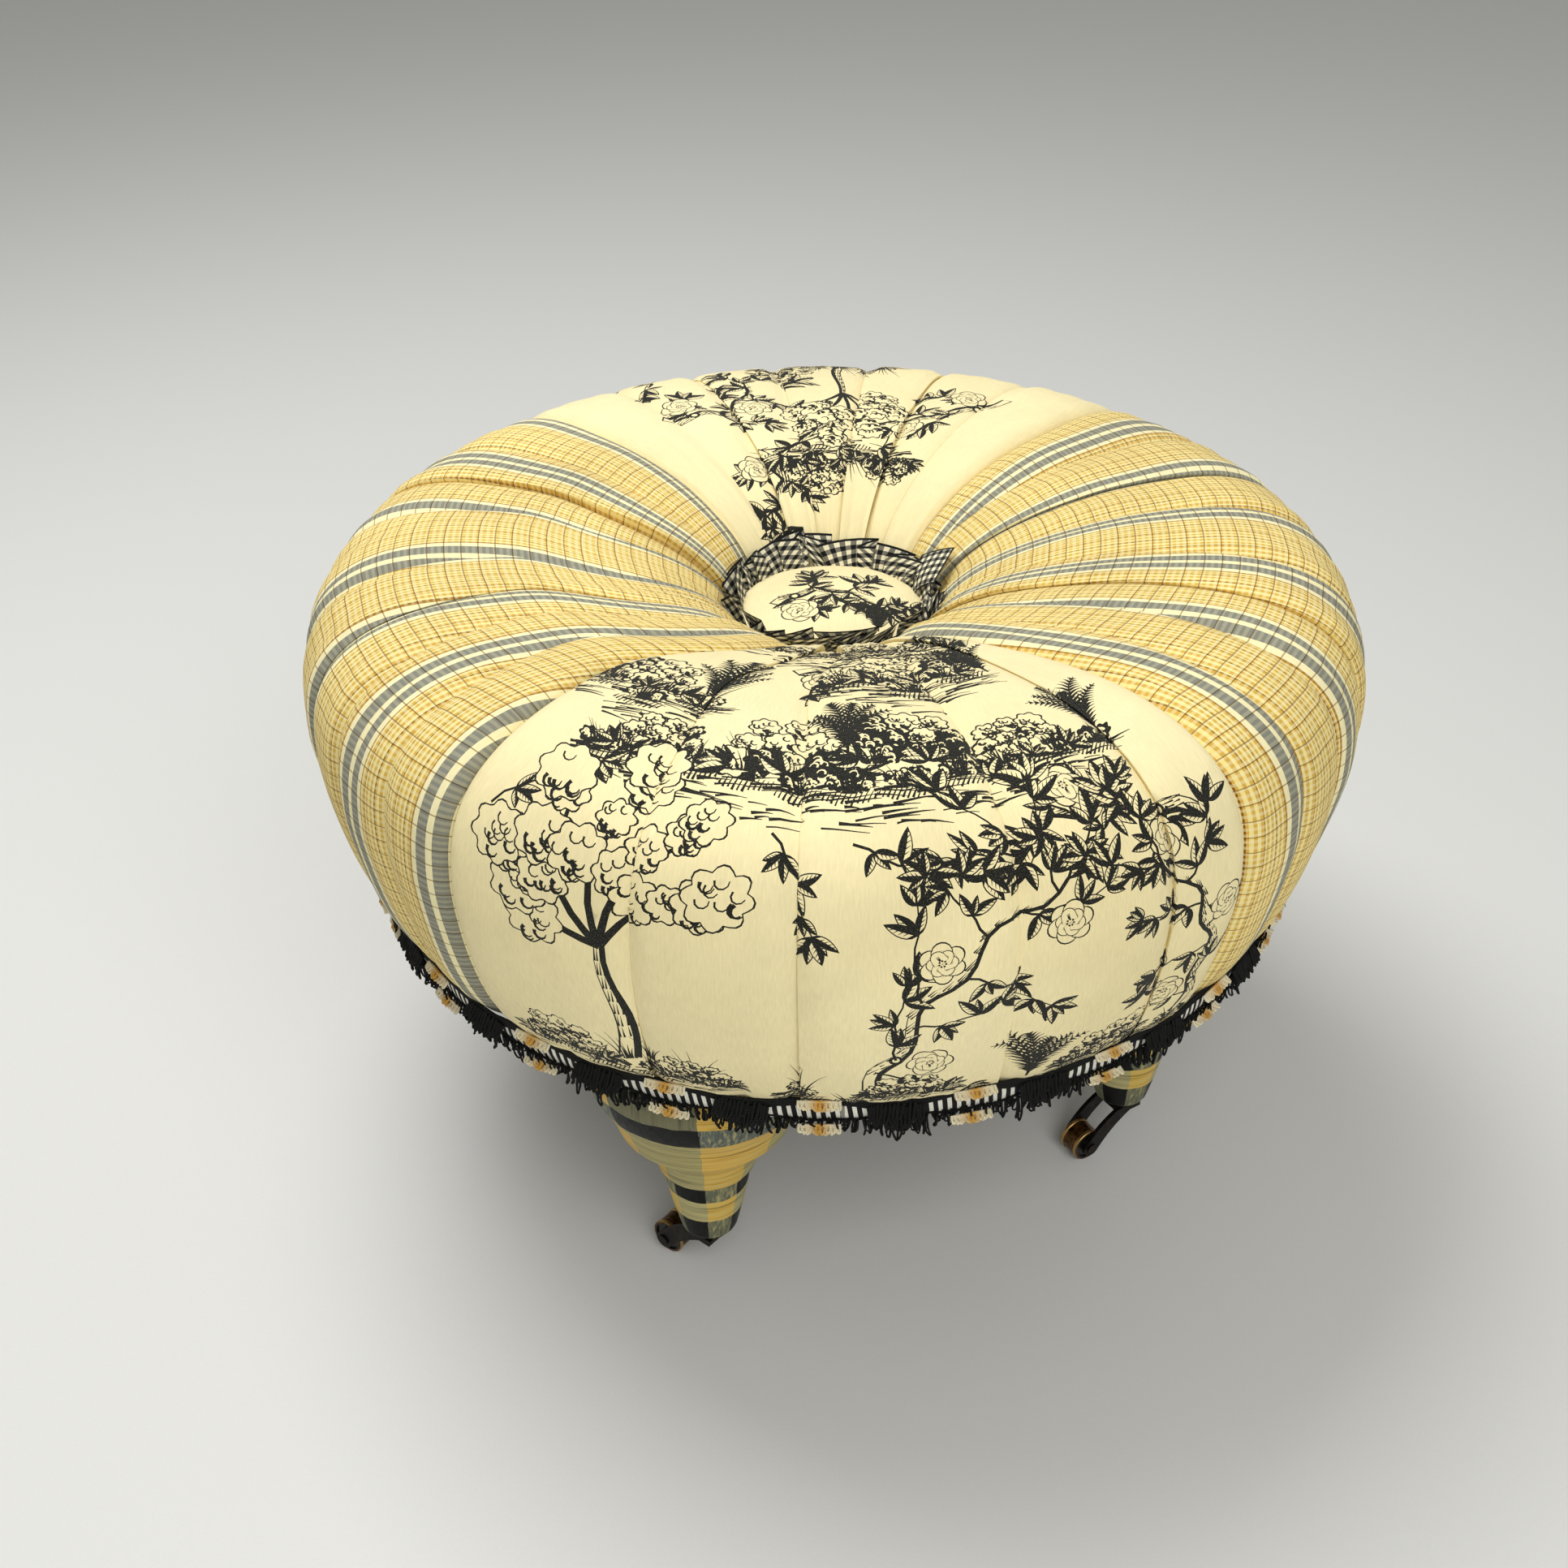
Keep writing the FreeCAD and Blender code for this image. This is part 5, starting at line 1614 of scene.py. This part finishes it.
def tufts():
    """Two rings of tufts, above and below the ribbon."""
    shape, middles = tuft()
    upper = (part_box("tufts")[1].z + upper_tuft_up, braid_high.x + upper_tuft_out)
    lower = (ribbon_low - lower_tuft_down, braid_high.x - lower_tuft_in)
    for number, (height, radius) in enumerate((upper, lower)):
        ringed("tufts_" + ("upper", "lower")[number], shape, "cream_yarn", replaces=("tufts",),
               values={"middle": middles}, Count=windows, Radius=radius, Height=height,
               Start=first_window - math.pi / 2, Spin=0.05, Lean=0.07, Least=0.85, Most=1.1, Seed=20 + number,
               Bunches=0.0, Bunch=0.0, First=0.0)


frill()
ribbon()
heading()
fringe()
curl_ring()
tufts()


# Under the seat: the dust cover's slack in metres, its sag between staples, and its rings of points
dust_slack, dust_sag, staple_waves = 0.0012, 0.0008, 14
dust_columns, dust_rows, dust_centre = 112, 16, 0.02


def dust_cover():
    """Thin black cloth under the board, slack between its staples."""
    low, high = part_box("dust_cover")
    radius, columns, rows = high.x, dust_columns, dust_rows
    turn, out = paired(full_turn(columns), np.linspace(1, dust_centre, rows))
    sag = dust_sag * np.abs(np.sin(turn * staple_waves)) * out ** 6 * (1 - out) * 8
    slack = dust_slack * (1 - out ** 4) + sag
    height = (low.z + high.z) / 2 - slack * (0.6 + 0.4 * ripple(turn * 5, out * 6, dust_layer))
    points = np.stack([radius * out * np.cos(turn), radius * out * np.sin(turn), height], -1)
    points = np.concatenate([points, [points[-columns:].mean(0)]])
    faces = grid_faces(columns, rows, closed=True)
    last = (rows - 1) * columns
    faces += [(last + number, columns * rows, last + (number + 1) % columns) for number in range(columns)]
    made = piece("dust_cloth", points, faces, "black_cloth", replaces=("dust_cover",), uv=points[:, :2])


dust_cover()


# Materials of the solids that stay
def dress(node, look):
    """Puts a material on every slot of a solid."""
    mesh = frame["nodes"][node].data
    mesh.materials.clear()
    mesh.materials.append(look)
    mesh.shade_smooth()


joints = {joint["name"]: joint for joint in frame["joints"]}
for side in sides:
    low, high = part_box("leg_" + side)
    middle = (low + high) / 2
    dress("leg_" + side, material("painted_wood_" + side, painted_wood(middle), Specular_IOR_Level=0.12,
                                  Coat_Weight=0.05, Coat_Roughness=0.25))
    axle = joints["roll_" + side]
    dress("wheel_" + side, material("aged_brass_" + side, wheel_look(axle["pos_m"], axle["axis"])))
    for node in ("socket_", "horn_", "axle_"):
        dress(node + side, materials["bronzed_iron"])
    dress("stem_" + side, materials["zinc_steel"])
for node in ("base_board", "button_disc"):
    dress(node, materials["plywood"])
for node in ("staples", "tie_bolt", "tie_washer", "tie_nut", "tee_nuts", "hanger_bolts"):
    dress(node, materials["zinc_steel"])


# The room, the lights and the camera, which stands where the photograph was taken from
floor_half = 6.0
sky_strength = 0.40
eye = Vector((-0.0334, -1.1631, 1.0386))
looking = Vector((0.0, 0.832, -0.555))
roll = math.radians(-0.70)
lens, sensor = 44.68, 36.0


def floor_look(nodes):
    """Pale paper with a faint tooth."""
    tooth = nodes.noise(nodes.place(), scale=500.0, detail=3.0)
    return {"Base Color": nodes.mix(tooth, tint(216, 216, 213), tint(221, 221, 218)),
            "Normal": nodes.bump(tooth, distance=0.0002, strength=0.3)}


def floor():
    """A wide pale floor."""
    corners = [(x * floor_half, y * floor_half, 0) for x, y in ((-1, -1), (1, -1), (1, 1), (-1, 1))]
    mesh = bpy.data.meshes.new("floor")
    mesh.from_pydata(corners, [], [(0, 1, 2, 3)])
    mesh.materials.append(material("floor", floor_look, Roughness=0.9))
    placed("floor", mesh)


def lamp(name, place, target, size, power):
    """A soft square light."""
    data = bpy.data.lights.new(name, "AREA")
    data.size = size
    data.energy = power
    made = placed(name, data)
    made.location = place
    made.rotation_euler = (Vector(target) - Vector(place)).to_track_quat("-Z", "Y").to_euler()


def sky():
    """An even pale surround."""
    world = bpy.data.worlds.new("surround")
    world.use_nodes = True
    background = world.node_tree.nodes["Background"]
    background.inputs["Color"].default_value = tint(236, 236, 232)
    background.inputs["Strength"].default_value = sky_strength
    bpy.context.scene.world = world


def camera():
    """The photograph's point of view."""
    data = bpy.data.cameras.new("camera")
    data.lens = lens
    data.sensor_width = sensor
    made = placed("camera", data)
    made.location = eye
    facing = looking.to_track_quat("-Z", "Y").to_matrix()
    made.rotation_euler = (facing @ Matrix.Rotation(roll, 3, "Z")).to_euler()
    bpy.context.scene.camera = made


floor()
sky()
lamp("key", place=(-0.7, 0.6, 2.6), target=(0, 0, 0.35), size=1.4, power=49)
lamp("fill", place=(0.6, -2.1, 1.9), target=(0, 0, 0.25), size=1.8, power=36)
camera()
bpy.context.scene.view_settings.view_transform = "Standard"
